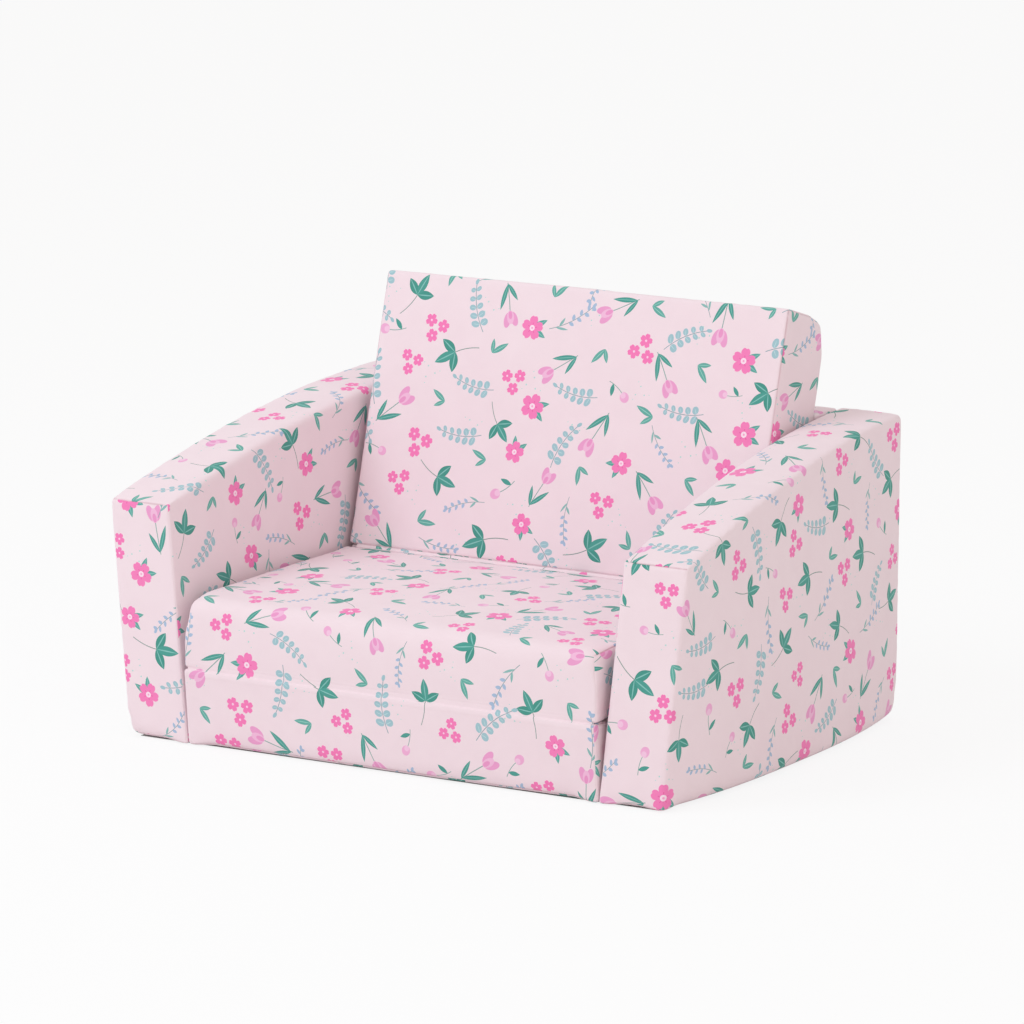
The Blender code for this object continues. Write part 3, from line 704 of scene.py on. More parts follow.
class Cushion:
    """A foam block in its cover, shaped in a frame of its own.

    bend moves points of the plain block to the form of the filled one. joined says which panel the
    cloth of another runs on from, so every other edge of the block is a seam. contact names the
    panels that lie against a neighbour. edges gives the radius of each edge that differs.
    zip_bed is (panel, axis along the zip, its length, place across it).
    """

    def __init__(self, name, block, bend, joined, contact, edges={}, leaning=Matrix.Identity(4),
                 print_start=(0.0, 0.0), zip_bed=None):
        self.bend, self.joined, self.contact, self.edges = bend, joined, contact, edges
        low, high = Vector(block[0]), Vector(block[1])
        self.half = np.array(high - low) / 2
        self.stand = leaning @ Matrix.Translation((low + high) / 2)
        self.zip_bed = zip_bed
        self.cover = cut_cloth(name, self.half)
        self.flat = read_points(self.cover)
        self.mark_seams()
        self.lay_print(np.array(print_start))
        write_points(self.cover, self.bend(self.rounded(self.flat), self.half))
        self.cover.data.materials.append(printed_cloth)
        bpy.ops.object.shade_smooth()

    def below(self, points, panel):
        """How far points lie below a panel."""
        axis, side = PANELS[panel]
        return self.half[axis] - side * points[:, axis]

    def from_edge(self, points, edge):
        return np.hypot(*(self.below(points, panel) for panel in edge))

    def radii(self, points):
        """The edge radius at each point, which changes softly towards an edge of its own radius."""
        radii = np.full(len(points), COVER_RADIUS)
        for edge, radius in self.edges.items():
            away = self.from_edge(points, edge) - max(radius, COVER_RADIUS)
            radii = radii + (radius - radii) * (1.0 - ease(away / EDGE_CHANGE_REACH))
        return radii[:, None]

    def core(self, points):
        """The nearest points of the block inside the round edges, and the edges' radii."""
        radii = self.radii(points)
        return np.clip(points, radii - self.half, self.half - radii), radii

    def rounded(self, points):
        """Points of the sharp block moved onto the same block with round edges."""
        core, radii = self.core(points)
        out = points - core
        return core + out * radii / np.maximum(np.linalg.norm(out, axis=1, keepdims=True), 1e-9)

    def unrolled(self, points):
        """Points measured along the cloth, round the edges."""
        core, radii = self.core(points)
        return core + radii * np.arctan((points - core) / radii)

    def beside_zip(self, points):
        """How far points lie from the zip's tape, across it and along it, and whether on its side."""
        panel, along, length, across_place = self.zip_bed
        axis, side = PANELS[panel]
        across = np.abs(points[:, 3 - axis - along] - across_place) - ZIP_TAPE_WIDTH / 2
        return across, np.abs(points[:, along]) - length / 2, side * points[:, axis]

    def bed_share(self, points):
        """One in the zip's bed, zero a little beside it."""
        if not self.zip_bed:
            return np.zeros(len(points))
        across, along, out = self.beside_zip(points)
        off = np.maximum(np.maximum(across, along), 0.0)
        on_panel = out > self.half[PANELS[self.zip_bed[0]][0]] - COVER_RADIUS / 2
        return (1.0 - ease(off / ZIP_BED_BORDER)) * on_panel

    def mark_seams(self):
        pattern = {shared_edge(panel, onto) for panel, onto in self.joined.items()}
        on_panel = {panel: np.abs(self.below(self.flat, panel)) < SAME_PLACE for panel in PANELS}
        seams = [on_panel[a] & on_panel[b] for a, b in itertools.combinations(PANELS, 2)
                 if PANELS[a][0] != PANELS[b][0] and a + b not in pattern]
        self.seam_edges = []
        for edge in self.cover.data.edges:
            first, second = edge.vertices
            if any(seam[first] and seam[second] for seam in seams):
                edge.use_seam = True
                self.seam_edges.append((first, second))

    def flat_direction(self, panel, axis):
        """Which way on the flat cloth a step along +axis of the panel goes."""
        if panel in self.joined:
            onto = self.joined[panel]
            onto_axis, onto_side = PANELS[onto]
            if axis != onto_axis:
                return self.flat_direction(onto, axis)
            own_axis, own_side = PANELS[panel]
            return -onto_side * own_side * self.flat_direction(onto, own_axis)
        up, right = PRINT_UPRIGHT[panel]
        return np.array([float(abs(right) - 1 == axis) * np.sign(right), float(abs(up) - 1 == axis)])

    def flat_place(self, panel, points):
        """Where points of a panel lie on the flat cloth."""
        axis, side = PANELS[panel]
        if panel in self.joined:
            onto = self.joined[panel]
            onto_axis, onto_side = PANELS[onto]
            edge = points.copy()
            edge[:, onto_axis] = onto_side * self.half[onto_axis]
            run = self.unrolled(edge)[:, onto_axis] - self.unrolled(points)[:, onto_axis]
            ahead = side * self.flat_direction(onto, axis)
            return self.flat_place(onto, edge) + np.outer(onto_side * run, ahead)
        rounded = self.rounded(points)
        spots = self.bend(rounded, self.half) + self.unrolled(points) - rounded
        return sum(np.outer(spots[:, other], self.flat_direction(panel, other))
                   for other in range(3) if other != axis)

    def lay_print(self, print_start):
        faces = self.cover.data.polygons
        corners = corner_points(self.cover)
        normals = np.repeat(read(faces, "normal"), read(faces, "loop_total", 1, np.int32), axis=0)
        places = np.zeros((len(corners), 2))
        for panel, (axis, side) in PANELS.items():
            here = normals[:, axis] * side > 0.9
            places[here] = self.flat_place(panel, self.flat[corners[here]]) + print_start
        lay_cloth(self.cover, places)


def looseness(cushion):
    """How free each point of a cover is to swell: not at all where the block lies against another."""
    free = np.zeros(len(cushion.flat))
    held = np.ones(len(cushion.flat))
    for panel in PANELS:
        away = cushion.below(cushion.flat, panel)
        if panel in cushion.contact:
            held *= ease(away / CONTACT_REACH)
        else:
            free[away < SAME_PLACE] = 1.0
    if cushion.zip_bed:
        across, _, out = cushion.beside_zip(cushion.flat)
        held *= np.where(out > 0, ease(across / (2 * CONTACT_REACH)), 1.0)
    return free * held


def point_tree(points):
    tree = kdtree.KDTree(len(points))
    for number, point in enumerate(points):
        tree.insert(point, number)
    tree.balance()
    return tree


def seam_tree(cushion, points):
    """The seams as points closer together than the lattice, for finding the nearest."""
    first, second = np.array(cushion.seam_edges).T
    shares = np.linspace(0.0, 1.0, 5)[None, :, None]
    line = points[first][:, None] * (1 - shares) + points[second][:, None] * shares
    return point_tree(line.reshape(-1, 3))


def seam_nearness(cushion, reach):
    """One on a seam, falling to zero at the reach."""
    points = read_points(cushion.cover)
    tree = seam_tree(cushion, points)
    return 1.0 - ease(np.array([tree.find(point)[2] for point in points]) / reach)


def add_weights(piece, name, weights):
    group = piece.vertex_groups.new(name=name)
    levels = np.round(weights * WEIGHT_STEPS) / WEIGHT_STEPS
    for level in np.unique(levels):
        group.add(np.flatnonzero(levels == level).tolist(), float(level), 'REPLACE')


def fill(cushions):
    """Air pressure in all covers at once, while the foam blocks hold them."""
    for cushion in cushions:
        cushion.loose = looseness(cushion)
        cushion.empty = read_points(cushion.cover)
        add_weights(cushion.cover, "Held", 1.0 - LOOSE_CLOTH_SHARE * cushion.loose)
        add_weights(cushion.cover, "Seamed", seam_nearness(cushion, SEAM_SHRINK_REACH))
        cloth = cushion.cover.modifiers.new("Filling", 'CLOTH')
        for name, value in FILLING_CLOTH.items():
            setattr(cloth.settings, name, value)
        cloth.settings.effector_weights.gravity = 0.0
        cloth.collision_settings.use_collision = False
        cloth.point_cache.frame_start, cloth.point_cache.frame_end = 1, FILLING_FRAMES
    for number in range(1, FILLING_FRAMES + 1):
        bpy.context.scene.frame_set(number)
    for cushion in cushions:
        bpy.context.view_layer.objects.active = cushion.cover
        bpy.ops.object.modifier_apply(modifier="Filling")
        moved = read_points(cushion.cover) - cushion.empty
        length = np.linalg.norm(moved, axis=1, keepdims=True)
        limit = FILLING_LIMIT * cushion.loose[:, None]
        # Eased, so that no flat shows where the limit is reached
        kept = moved * limit / np.maximum(np.sqrt(length ** 2 + limit ** 2), 1e-9)
        write_points(cushion.cover, cushion.empty + kept)
        cushion.cover.vertex_groups.clear()
    bpy.context.scene.frame_set(1)


def pull_seams(cushion):
    """Draw the seams in, then refine the cloth and gather it lightly along them."""
    cover = cushion.cover
    points, normals = read_points(cover), read_normals(cover)
    on_seam = sorted(set(sum(cushion.seam_edges, ())))
    points[on_seam] -= normals[on_seam] * SEAM_DEPTH
    points -= normals * (ZIP_BED_DEPTH * cushion.bed_share(cushion.flat))[:, None]
    write_points(cover, points)
    free = 1.0 - PRESSED_LOSS * (1.0 - looseness(cushion))
    # Flat where it rests
    free[cushion.below(cushion.flat, "D") < SAME_PLACE] = 0.0
    # The cloth runs on over a hinge's edge and a tight corner, with no fold
    sewn = np.ones(len(points))
    for edge, radius in cushion.edges.items():
        if radius == HINGE_RADIUS:
            sewn *= ease(cushion.from_edge(cushion.flat, edge) / SEAM_END_REACH)
    shares = {"Free": free, "Sewn": sewn}
    for name, values in shares.items():
        cover.data.attributes.new(name, 'FLOAT', 'POINT').data.foreach_set("value", values)
    bpy.context.view_layer.objects.active = cover
    refined = cover.modifiers.new("Refined", 'SUBSURF')
    refined.levels = refined.render_levels = 1
    bpy.ops.object.modifier_apply(modifier="Refined")
    tree = seam_tree(cushion, points)
    corners = [cushion.bend(np.array([corner]) * cushion.half, cushion.half)[0]
               for corner in itertools.product((-1, 1), repeat=3)]
    points, normals = read_points(cover), read_normals(cover)
    for name in shares:
        shares[name] = read(cover.data.attributes[name].data, "value", 1)
        cover.data.attributes.remove(cover.data.attributes[name])
    lifts, folds = np.empty((2, len(points)))
    for number, point in enumerate(points):
        nearest, _, away = tree.find(point)
        gather = math.exp(-(away / PUCKER_REACH) ** 2) * (1.0 - math.exp(-(away / PUCKER_START) ** 2))
        along, point = Vector(nearest) / PUCKER_SPACING, Vector(point)
        # Both kinds of fold have smaller ones among them
        spread = noise.noise(along) + 0.5 * noise.noise(along * 2.1 + Vector((7.0, 0.0, 0.0)))
        slack = noise.noise(point / SLACK_SPACING) + 0.2 * noise.noise(point / SMALL_SLACK_SPACING)
        folds[number] = shares["Sewn"][number] * math.exp(-(away / SEAM_FOLD_REACH) ** 2)
        lifts[number] = PUCKER_HEIGHT * gather * spread + SLACK_HEIGHT * slack
    lifts -= SEAM_FOLD_DEPTH * folds
    for corner in corners:
        out = points - corner
        away = np.linalg.norm(out, axis=1)
        for number in np.flatnonzero(away < 3 * TUG_REACH):
            # Folds that run out from the corner: noise over direction alone, unlike at each corner
            direction = Vector(out[number] / max(away[number], 1e-6))
            fold = noise.noise(direction * TUG_FOLDS + Vector(corner) * 40)
            reach = away[number] / TUG_REACH
            lifts[number] += TUG_HEIGHT * fold * reach * math.exp(1.0 - 2.0 * reach)
    write_points(cover, points + normals * (lifts * shares["Free"])[:, None])
    # The same share darkens the cloth's colour along the seam, through the Seam attribute: painted shade in
    # its fold
    cover.data.attributes.new("Seam", 'FLOAT', 'POINT').data.foreach_set("value", folds)


def moved_along(points, axis, distance):
    return points + np.outer(distance, np.eye(3)[axis])


def bend_arm(points, half, side, splay, swell):
    """An arm leans out and forward, and its top runs down to the front in a bow."""
    outer = "R" if side > 0 else "L"
    depth = share_towards(points, half, "B")
    rise = share_towards(points, half, "U")
    drop = ARM_FRONT_DROP * (1.0 - depth) ** ARM_TOP_BOW
    outward = splay + (ARM_REAR_SPLAY - splay) * depth
    bulge = ARM_SIDE_CROWN * crown(points, half, outer)
    lift = TOP_CROWN * crown(points, half, "U")
    # The foot swells out between its corners, which the cover pulls up
    outside = share_towards(points, half, outer) * (1.0 - rise) ** FOOT_SWELL_RISE_POWER
    end = (points[:, 1] / half[1]) ** 2
    bulge = bulge + swell * (1.0 - end ** FOOT_SWELL_END_POWER) * outside
    corner_share = np.where(points[:, 1] > 0, 1.0, FRONT_CORNER_LIFT_SHARE)
    lift = lift + ARM_CORNER_LIFT * end ** 2 * outside * corner_share
    return points + np.stack([side * (outward * rise + bulge), ARM_FRONT_LEAN * rise * (1.0 - depth),
                              lift - drop * rise], axis=1)


def press_ends(points, half):
    return moved_along(points, 0, END_PRESS * points[:, 0] / half[0])


def bend_base(points, half):
    """The front runs back towards the foot, least in the middle, and the ends press on the arms."""
    foot = share_towards(points, half, "D") * share_towards(points, half, "F")
    foot *= BASE_FOOT_SETBACK - BASE_FOOT_SWELL * (1.0 - (points[:, 0] / half[0]) ** 2)
    return moved_along(press_ends(points, half), 1, foot)


def bend_ledge(points, half):
    """The top slopes down to the rear, square to the leaning backrest."""
    fall = (points[:, 1] + half[1]) * math.tan(BACK_RECLINE) * share_towards(points, half, "U")
    return moved_along(points, 2, -fall)


def bend_wall(points, half):
    return moved_along(press_ends(points, half), 2, TOP_CROWN * crown(points, half, "U"))


def bend_seat(points, half):
    """Crowned on top and in front, with its ends pulled in between the corners."""
    ends = crown(points, half, "R") - crown(points, half, "L")
    front = SEAT_FRONT_CROWN * (share_towards(points, half, "F") - crown(points, half, "F"))
    return points + np.stack([-SIDE_PULL * ends, front, SEAT_CROWN * crown(points, half, "U")], axis=1)


def bend_back(points, half):
    moved = moved_along(points, 1, -BACK_CROWN * crown(points, half, "F"))
    return moved_along(moved, 2, TOP_CROWN * crown(points, half, "U"))


def middle_height(block):
    return (block[0][2] + block[1][2]) / 2


def cut_cushions():
    """Every block in its cover. The pad's front and the base's are one run of the print."""
    feet = {edge: FOOT_RADIUS for edge in ("FD", "BD", "LD", "RD")}
    corners = {"LF": SEWN_CORNER_RADIUS, "RF": SEWN_CORNER_RADIUS}
    return {
        "left_arm": Cushion("left_arm_cushion", LEFT_ARM_BLOCK,
                            functools.partial(bend_arm, side=-1, splay=LEFT_ARM_SPLAY,
                                              swell=LEFT_FOOT_SWELL),
                            joined={"U": "R", "F": "L", "B": "L"}, contact="RD",
                            edges={**feet, "RU": ARM_FOLD_RADIUS, "RF": SEWN_CORNER_RADIUS},
                            print_start=(0.031, 0.012)),
        "right_arm": Cushion("right_arm_cushion", RIGHT_ARM_BLOCK,
                             functools.partial(bend_arm, side=1, splay=RIGHT_ARM_SPLAY,
                                               swell=RIGHT_FOOT_SWELL),
                             joined={"U": "R", "F": "R", "B": "R"}, contact="LD",
                             edges={**feet, "LU": ARM_INNER_RADIUS, "LF": SEWN_CORNER_RADIUS,
                                    "RF": ARM_FRONT_RADIUS},
                             print_start=(1.154, 0.040)),
        "base": Cushion("base_cushion", BASE_BLOCK, bend_base, joined={"U": "F"}, contact="LRDUB",
                        edges={**feet, **corners, "FU": HINGE_RADIUS},
                        print_start=(FRONT_PRINT_START, middle_height(BASE_BLOCK) - FRONT_HINGE.z)),
        "rear_ledge": Cushion("rear_ledge_cushion", LEDGE_BLOCK, bend_ledge, joined={"F": "U"},
                              contact="LRDFUB", edges={"FU": HINGE_RADIUS}, print_start=(3.0, 0.0)),
        "rear_wall": Cushion("rear_wall_cushion", WALL_BLOCK, bend_wall, joined={"U": "B", "F": "U"},
                             contact="LRDF", edges={**feet, "LU": HINGE_RADIUS, "RU": HINGE_RADIUS},
                             print_start=(4.0, 0.0),
                             zip_bed=("B", 0, FRAME_ZIP_LENGTH,
                                      FRAME_ZIP_HEIGHT - middle_height(WALL_BLOCK))),
        "seat": Cushion("seat_cushion", SEAT_BLOCK, bend_seat, joined={"U": "F"}, contact="LRDB",
                        edges={**corners, "FU": PAD_NOSE_RADIUS, "FD": HINGE_RADIUS, "BU": HINGE_RADIUS},
                        print_start=(FRONT_PRINT_START, middle_height(SEAT_BLOCK) - FRONT_HINGE.z),
                        zip_bed=("B", 0, SEAT_ZIP_LENGTH, 0.0)),
        "back": Cushion("back_cushion", BACK_BLOCK, bend_back, joined={"U": "F", "B": "U"}, contact="LRDB",
                        edges={"FL": BACK_FRONT_RADIUS, "FR": BACK_FRONT_RADIUS, "FU": BACK_FRONT_RADIUS,
                               "BU": BACK_REAR_RADIUS, "FD": HINGE_RADIUS},
                        leaning=leaning, print_start=(5.0, 0.0), zip_bed=("L", 2, BACK_ZIP_LENGTH, 0.0)),
    }


def start_sheet(name, across, along):
    """A flat grid of so many squares, and where its points are, from -0.5 to 0.5 each way."""
    sheet = start(name, bpy.ops.mesh.primitive_grid_add, x_subdivisions=across, y_subdivisions=along,
                  size=1.0, location=(0, 0, 0))
    return sheet, *read_points(sheet).T[:2]


def finish_sheet(sheet, places, cloth_places, finish, thickness=CLOTH_THICKNESS):
    """Puts a sheet's points in their places, and gives it its print, thickness and material."""
    write_points(sheet, np.stack(places, axis=1))
    lay_cloth(sheet, np.stack(cloth_places, axis=1)[corner_points(sheet)])
    wall = sheet.modifiers.new("Thickness", 'SOLIDIFY')
    wall.thickness, wall.offset = thickness, -1.0
    bpy.ops.object.modifier_apply(modifier="Thickness")
    bpy.ops.object.shade_smooth_by_angle(angle=math.radians(50))
    sheet.data.materials.append(finish)


def waves(x, y):
    """Noise over places on a sheet."""
    return np.array([noise.noise(Vector((*place, 0))) for place in zip(x, y)])


def sew_front_crease(base, seat):
    """The printed cloth that runs from the base's front on to the pad's and folds in between them."""
    bpy.context.view_layer.update()
    crease, across, up = start_sheet("front_hinge_crease", 160, 32)
    x, rise = across * CREASE_LENGTH, up * 2 * CREASE_REACH

    def front_at(cover, place, height):
        origin = (place, FRONT_HINGE.y - 0.2, FRONT_HINGE.z + height)
        return cover.ray_cast(origin, (0, 1, 0))[1].y

    fronts = []
    for place, height in zip(x, rise):
        if abs(height) < CREASE_BRIDGE:
            low, high = front_at(base, place, -CREASE_BRIDGE), front_at(seat, place, CREASE_BRIDGE)
            fronts.append(low + (high - low) * (height / CREASE_BRIDGE + 1) / 2)
        else:
            fronts.append(front_at(base if height < 0 else seat, place, height))
    share = np.abs(rise) / CREASE_REACH
    depth = CREASE_DEPTH + (CREASE_END_DEPTH - CREASE_DEPTH) * np.abs(across * 2) ** 8
    dip = depth * np.exp(-(share / CREASE_WIDTH_SHARE) ** 2)
    # Its upper and lower edges tuck into the cloth behind
    tuck = CREASE_TUCK * ease((share - CREASE_TUCK_START) / (1.0 - CREASE_TUCK_START)) - CREASE_PROUD
    finish_sheet(crease, (x, np.array(fronts) + dip + tuck, FRONT_HINGE.z + rise),
                 (x + FRONT_PRINT_START, rise), printed_cloth)
    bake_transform(crease)


def sew_hinge_tape():
    """The tape sewn along the base's top, in the fold of the front hinge."""
    low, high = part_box("front_hinge_strip")
    low.y += HINGE_TAPE_SETBACK
    middle, size = (low + high) / 2, high - low
    tape, across, along = start_sheet("front_hinge_tape", 150, 12)
    x, y = across * size.x, middle.y + along * size.y
    height = high.z - 0.0001 + HINGE_TAPE_WAVE * waves(x / 0.03, along * 2)
    finish_sheet(tape, (x, y, height), (x, y), woven_tape)
    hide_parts("front_hinge_strip")
    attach(tape, "sofa_frame")
    end, inside = size.x / 2 - STITCH_INSET, size.y / 2 - STITCH_INSET
    sew_rows("front_hinge_stitches", [((-end, side * inside), (end, side * inside)) for side in (-1, 1)],
             Matrix.Translation((0, middle.y, high.z - 0.0002)), "sofa_frame")


def roll_rear_hinge():
    """The rolled edge of printed cloth that joins the pad and the backrest, round the hinge's axis."""
    low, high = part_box("rear_hinge_welt")
    radius, length = (high.z - low.z) / 2, high.x - low.x
    roll = start("rear_hinge_roll", bpy.ops.mesh.primitive_cylinder_add, vertices=28, radius=radius,
                 depth=length, location=BACK_HINGE, rotation=(0, math.pi / 2, 0))
    bpy.ops.object.mode_set(mode='EDIT')
    select_where(roll, "edges", lambda edge: edge_run(edge, 0) < SAME_PLACE)
    bpy.ops.mesh.bevel(offset=ROLL_END_RADIUS, segments=3)
    select_where(roll, "edges", lambda edge: edge_run(edge, 0) > length / 2)
    bpy.ops.mesh.subdivide(number_cuts=150)
    bpy.ops.object.mode_set(mode='OBJECT')
    points = read_points(roll)
    out = points - np.array(BACK_HINGE)
    out[:, 0] = 0.0
    # Gathered a little along its length
    pull = ROLL_GATHER * (waves(points[:, 0] / ROLL_GATHER_SPACING, np.zeros(len(points))) - 0.4)
    # Its top is pressed down level with the pad and against the backrest
    top = np.maximum(out[:, 2], 0.0) / radius
    write_points(roll, points + out / radius * pull[:, None] + np.outer(top, ROLL_PRESS))
    round_it = np.arctan2(out[:, 2], out[:, 1]) * radius
    lay_cloth(roll, np.stack([points[:, 0] + 6.0, round_it], axis=1)[corner_points(roll)])
    bpy.ops.object.shade_smooth_by_angle(angle=math.radians(50))
    roll.data.materials.append(printed_cloth)
    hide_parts("rear_hinge_welt")
    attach(roll, "seat_panel")


def lay_underside():
    """The felt that closes the frame underneath."""
    low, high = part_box("underside_panel")
    size = high - low
    felt, across, along = start_sheet("underside_felt", 60, 46)
    x, y = across * size.x, along * size.y
    edge = np.maximum(np.abs(across), np.abs(along)) * 2
    height = low.z + 0.0007 + FELT_WAVE * waves(x / 0.07, y / 0.07) * (1 - edge ** 6)
    finish_sheet(felt, (x, y, height), (x, y), spunbond_felt, FELT_THICKNESS)
    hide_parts("underside_panel")
    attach(felt, "sofa_frame")


def pressed_bar(name, low, high, bevel, segments=2):
    """A block with its edges rounded off."""
    low, high = Vector(low), Vector(high)
    bar = start(name, bpy.ops.mesh.primitive_cube_add, size=1.0, location=(low + high) / 2,
                scale=high - low)
    bpy.ops.object.mode_set(mode='EDIT')
    bpy.ops.mesh.select_all(action='SELECT')
    bpy.ops.mesh.bevel(offset=bevel, segments=segments)
    bpy.ops.object.mode_set(mode='OBJECT')
    bpy.ops.object.shade_smooth_by_angle(angle=math.radians(40))
    return bar


def joined_into(name, pieces, finish):
    bpy.ops.object.select_all(action='DESELECT')
    for piece in pieces:
        piece.select_set(True)
    first = bpy.context.view_layer.objects.active = pieces[0]
    bpy.ops.object.join()
    first.name = first.data.name = name
    first.data.materials.append(finish)
    return first


def repeat(piece, count, pitch):
    """So many copies in one mesh, a pitch apart along X."""
    bpy.context.view_layer.objects.active = piece
    row = piece.modifiers.new("Row", 'ARRAY')
    row.count = count
    row.use_relative_offset, row.use_constant_offset = False, True
    row.constant_offset_displace = (pitch, 0, 0)
    bpy.ops.object.modifier_apply(modifier="Row")


def make_stitch():
    """One raised loop of thread along X, with both ends drawn down into the cloth."""
    stitch = start("stitch", bpy.ops.mesh.primitive_cylinder_add, vertices=6, radius=THREAD / 2,
                   depth=STITCH_LENGTH / 2, location=(0, 0, 0), rotation=(0, math.pi / 2, 0))
    bpy.ops.object.mode_set(mode='EDIT')
    for side in (-1, 1):
        select_where(stitch, "faces", lambda face: face.normal.x * side > 0.9)
        bpy.ops.mesh.extrude_region_move(
            TRANSFORM_OT_translate={"value": (side * STITCH_LENGTH / 4, 0, -THREAD * 0.5)})
        bpy.ops.transform.resize(value=(1.0, 0.5, 0.5))
    bpy.ops.object.mode_set(mode='OBJECT')
    bpy.ops.object.shade_smooth_by_angle(angle=math.radians(60))
    return stitch


def sew_rows(name, rows, place, body):
    """Rows of stitches, each from start to end on the cloth's own XY plane, then moved to their place."""
    stitch = make_stitch()
    sewn = []
    for first, last in rows:
        first, run = Vector((*first, 0)), Vector((*last, 0)) - Vector((*first, 0))
        row = stitch.copy()
        row.data = stitch.data.copy()
        bpy.context.collection.objects.link(row)
        count = round(run.length / STITCH_PITCH)
        repeat(row, count, run.length / count)
        turn = Vector((1, 0, 0)).rotation_difference(run).to_matrix().to_4x4()
        row.data.transform(Matrix.Translation(first + run / count / 2) @ turn)
        sewn.append(row)
    bpy.data.objects.remove(stitch)
    seam = joined_into(name, sewn, sewing_thread)
    seam.data.transform(place)
    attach(seam, body)


def make_zip(part, length, place, along, normal, body, leaning=Matrix.Identity(4)):
    """A zip's tape and its two rows of coil, made along X and facing +Z, then moved to its place."""
    turn = Matrix((along, normal.cross(along), normal)).transposed().to_4x4()
    place = leaning @ Matrix.Translation(place) @ turn
    half = length / 2
    tape = pressed_bar(part + "_zip_fabric", (-half, -ZIP_TAPE_WIDTH / 2, -ZIP_TAPE_THICKNESS),
                       (half, ZIP_TAPE_WIDTH / 2, 0.0), 0.0003)
    lay_cloth(tape, read_points(tape)[corner_points(tape), :2])
    tape.data.materials.append(zip_tape_cloth)
    count = int((length - 2 * ZIP_COIL_END) / ZIP_PITCH)
    turns = []
    for side, offset in ((-1, 0.0), (1, 0.5)):
        low, high = sorted((side * ZIP_COIL_WIDTH / 2, -side * ZIP_TURN_OVERLAP))
        first = (offset - count / 2) * ZIP_PITCH
        turns.append(pressed_bar("turn", (first, low, -0.0001),
                                 (first + 0.62 * ZIP_PITCH, high, ZIP_COIL_HEIGHT), 0.00025, 1))
    coil = joined_into(part + "_zip_coil", turns, nylon_coil)
    repeat(coil, count, ZIP_PITCH)
    for piece in (tape, coil):
        piece.data.transform(place)
        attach(piece, body)
    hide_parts(part + "_zip_tape")
    end, side = half - STITCH_INSET, ZIP_TAPE_WIDTH / 2 - STITCH_INSET
    corners = [(-end, -side), (end, -side), (end, side), (-end, side)]
    sew_rows(part + "_zip_stitches", zip(corners, corners[1:] + corners[:1]), place, body)
    for piece in ("_zip_slider", "_zip_pull"):
        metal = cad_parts[part + piece].data.materials
        metal.clear()
        metal.append(nickel)


def aim(thing, place, target, roll=0.0):
    """Puts a lamp or camera in the scene at a place, to look at the target."""
    bpy.context.collection.objects.link(thing)
    view = (Vector(target) - Vector(place)).to_track_quat('-Z', 'Y').to_matrix().to_4x4()
    thing.matrix_world = Matrix.Translation(place) @ view @ Matrix.Rotation(roll, 4, 'Z')


def soft_lamp(name, place, power, hex_colour):
    lamp = bpy.data.lights.new(name, 'AREA')
    lamp.shape, lamp.size, lamp.energy = 'DISK', 2.6, power
    lamp.color = linear(hex_colour)[:3]
    aim(bpy.data.objects.new(name, lamp), place, LIGHT_TARGET)


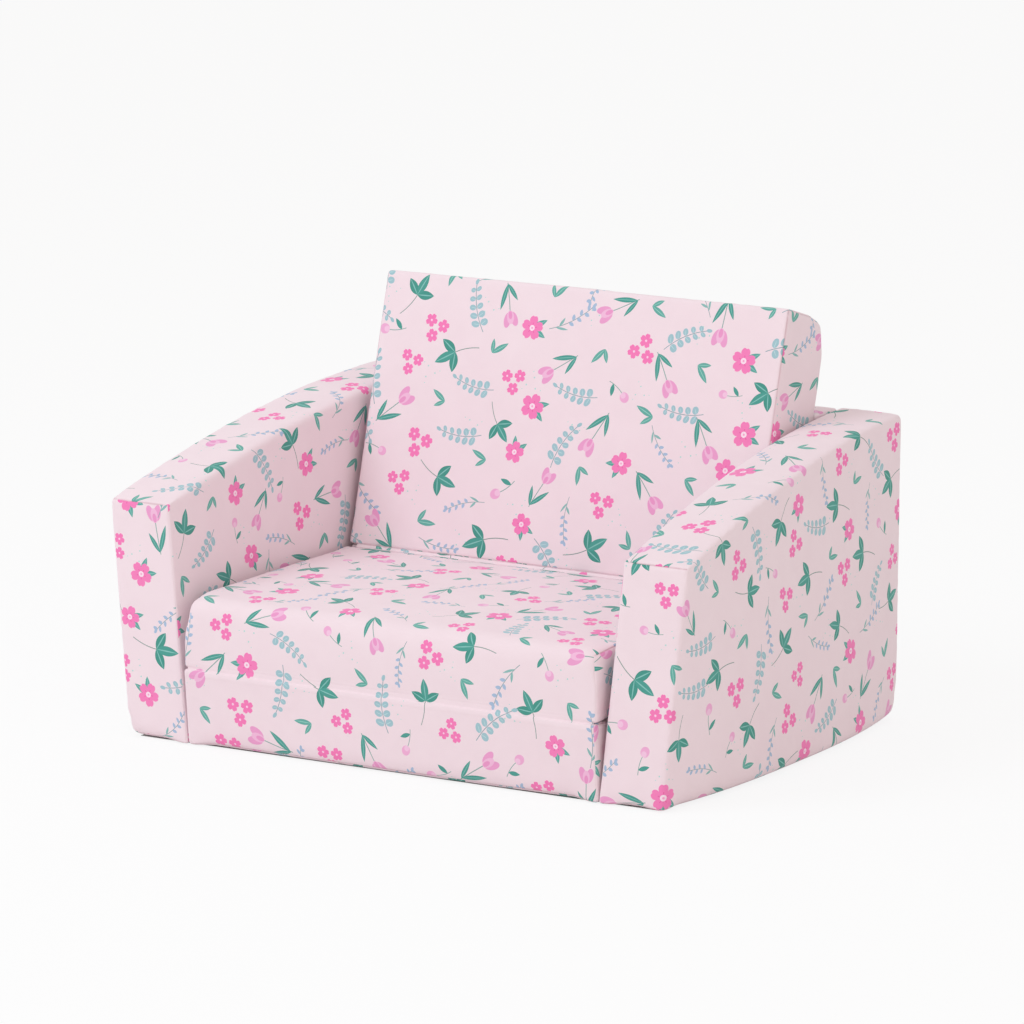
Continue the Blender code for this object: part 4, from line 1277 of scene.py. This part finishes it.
def make_studio():
    """A white floor that keeps the sofa's shadow, an even white room and two soft lamps."""
    white = (1.0, 1.0, 1.0, 1.0)
    floor = start("floor", bpy.ops.mesh.primitive_plane_add, size=30.0)

    @material("matt white paint")
    def floor_paint(tree):
        seen = add(tree, "LightPath").outputs
        direct = add(tree, "Math MAXIMUM", seen["Is Camera Ray"], seen["Is Glossy Ray"])
        share = add(tree, "Math MULTIPLY", direct, FLOOR_WHITE_SHARE)
        return add(tree, "MixShader", share, add(tree, "BsdfDiffuse", linear("#F2F0F0")),
                   add(tree, "Emission", white, 1.0))

    floor.data.materials.append(floor_paint)
    world = bpy.context.scene.world = bpy.data.worlds.new("studio")
    world.use_nodes = True
    tree = world.node_tree
    tree.nodes.clear()
    seen = add(tree, "LightPath").outputs
    direct = add(tree, "Math MAXIMUM", seen["Is Camera Ray"], seen["Is Glossy Ray"])
    clear = add(tree, "Math MAXIMUM", direct, seen["Is Transmission Ray"])
    add(tree, "OutputWorld", add(tree, "MixShader", clear,
                                 add(tree, "Background", linear("#FFFDFB"), ROOM_LIGHT),
                                 add(tree, "Background", white, 1.0)))
    soft_lamp("key", (-2.0, -2.95, 3.8), KEY_POWER, "#EBF5FF")
    soft_lamp("fill", (3.4, -2.4, 1.6), FILL_POWER, "#FFEFE5")


def make_camera():
    lens = bpy.data.cameras.new("camera")
    lens.lens, lens.sensor_width, lens.clip_end = CAMERA_LENS, 36.0, 60.0
    camera = bpy.context.scene.camera = bpy.data.objects.new("camera", lens)
    level = math.cos(CAMERA_ELEVATION)
    away = Vector((math.sin(CAMERA_AZIMUTH) * level, -math.cos(CAMERA_AZIMUTH) * level,
                   math.sin(CAMERA_ELEVATION)))
    aim(camera, CAMERA_TARGET + CAMERA_DISTANCE * away, CAMERA_TARGET, CAMERA_ROLL)


make_camera()
make_studio()
leaning = Matrix.Translation(BACK_HINGE) @ Matrix.Rotation(-BACK_RECLINE, 4, 'X')
cushions = cut_cushions()
fill(cushions.values())
for part, cushion in cushions.items():
    pull_seams(cushion)
for part, body in BODIES.items():
    cover = cushions[part].cover
    cover.data.transform(cushions[part].stand)
    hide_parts(part + "_cover", part + "_foam")
    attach(cover, body)

sew_front_crease(cushions["base"].cover, cushions["seat"].cover)
sew_hinge_tape()
roll_rear_hinge()
lay_underside()
along_x, along_y, along_z = Matrix.Identity(3)
make_zip("frame", FRAME_ZIP_LENGTH, (0, WALL_BLOCK[1][1], FRAME_ZIP_HEIGHT), along_x, along_y,
         "sofa_frame")
make_zip("seat", SEAT_ZIP_LENGTH, (0, SEAT_BLOCK[1][1], middle_height(SEAT_BLOCK)), along_x, along_y,
         "seat_panel")
make_zip("back", BACK_ZIP_LENGTH, (BACK_BLOCK[0][0], BACK_BLOCK[1][1] / 2, middle_height(BACK_BLOCK)),
         along_z, -along_x, "back_panel", leaning)

bpy.context.scene.view_settings.view_transform = 'Standard'
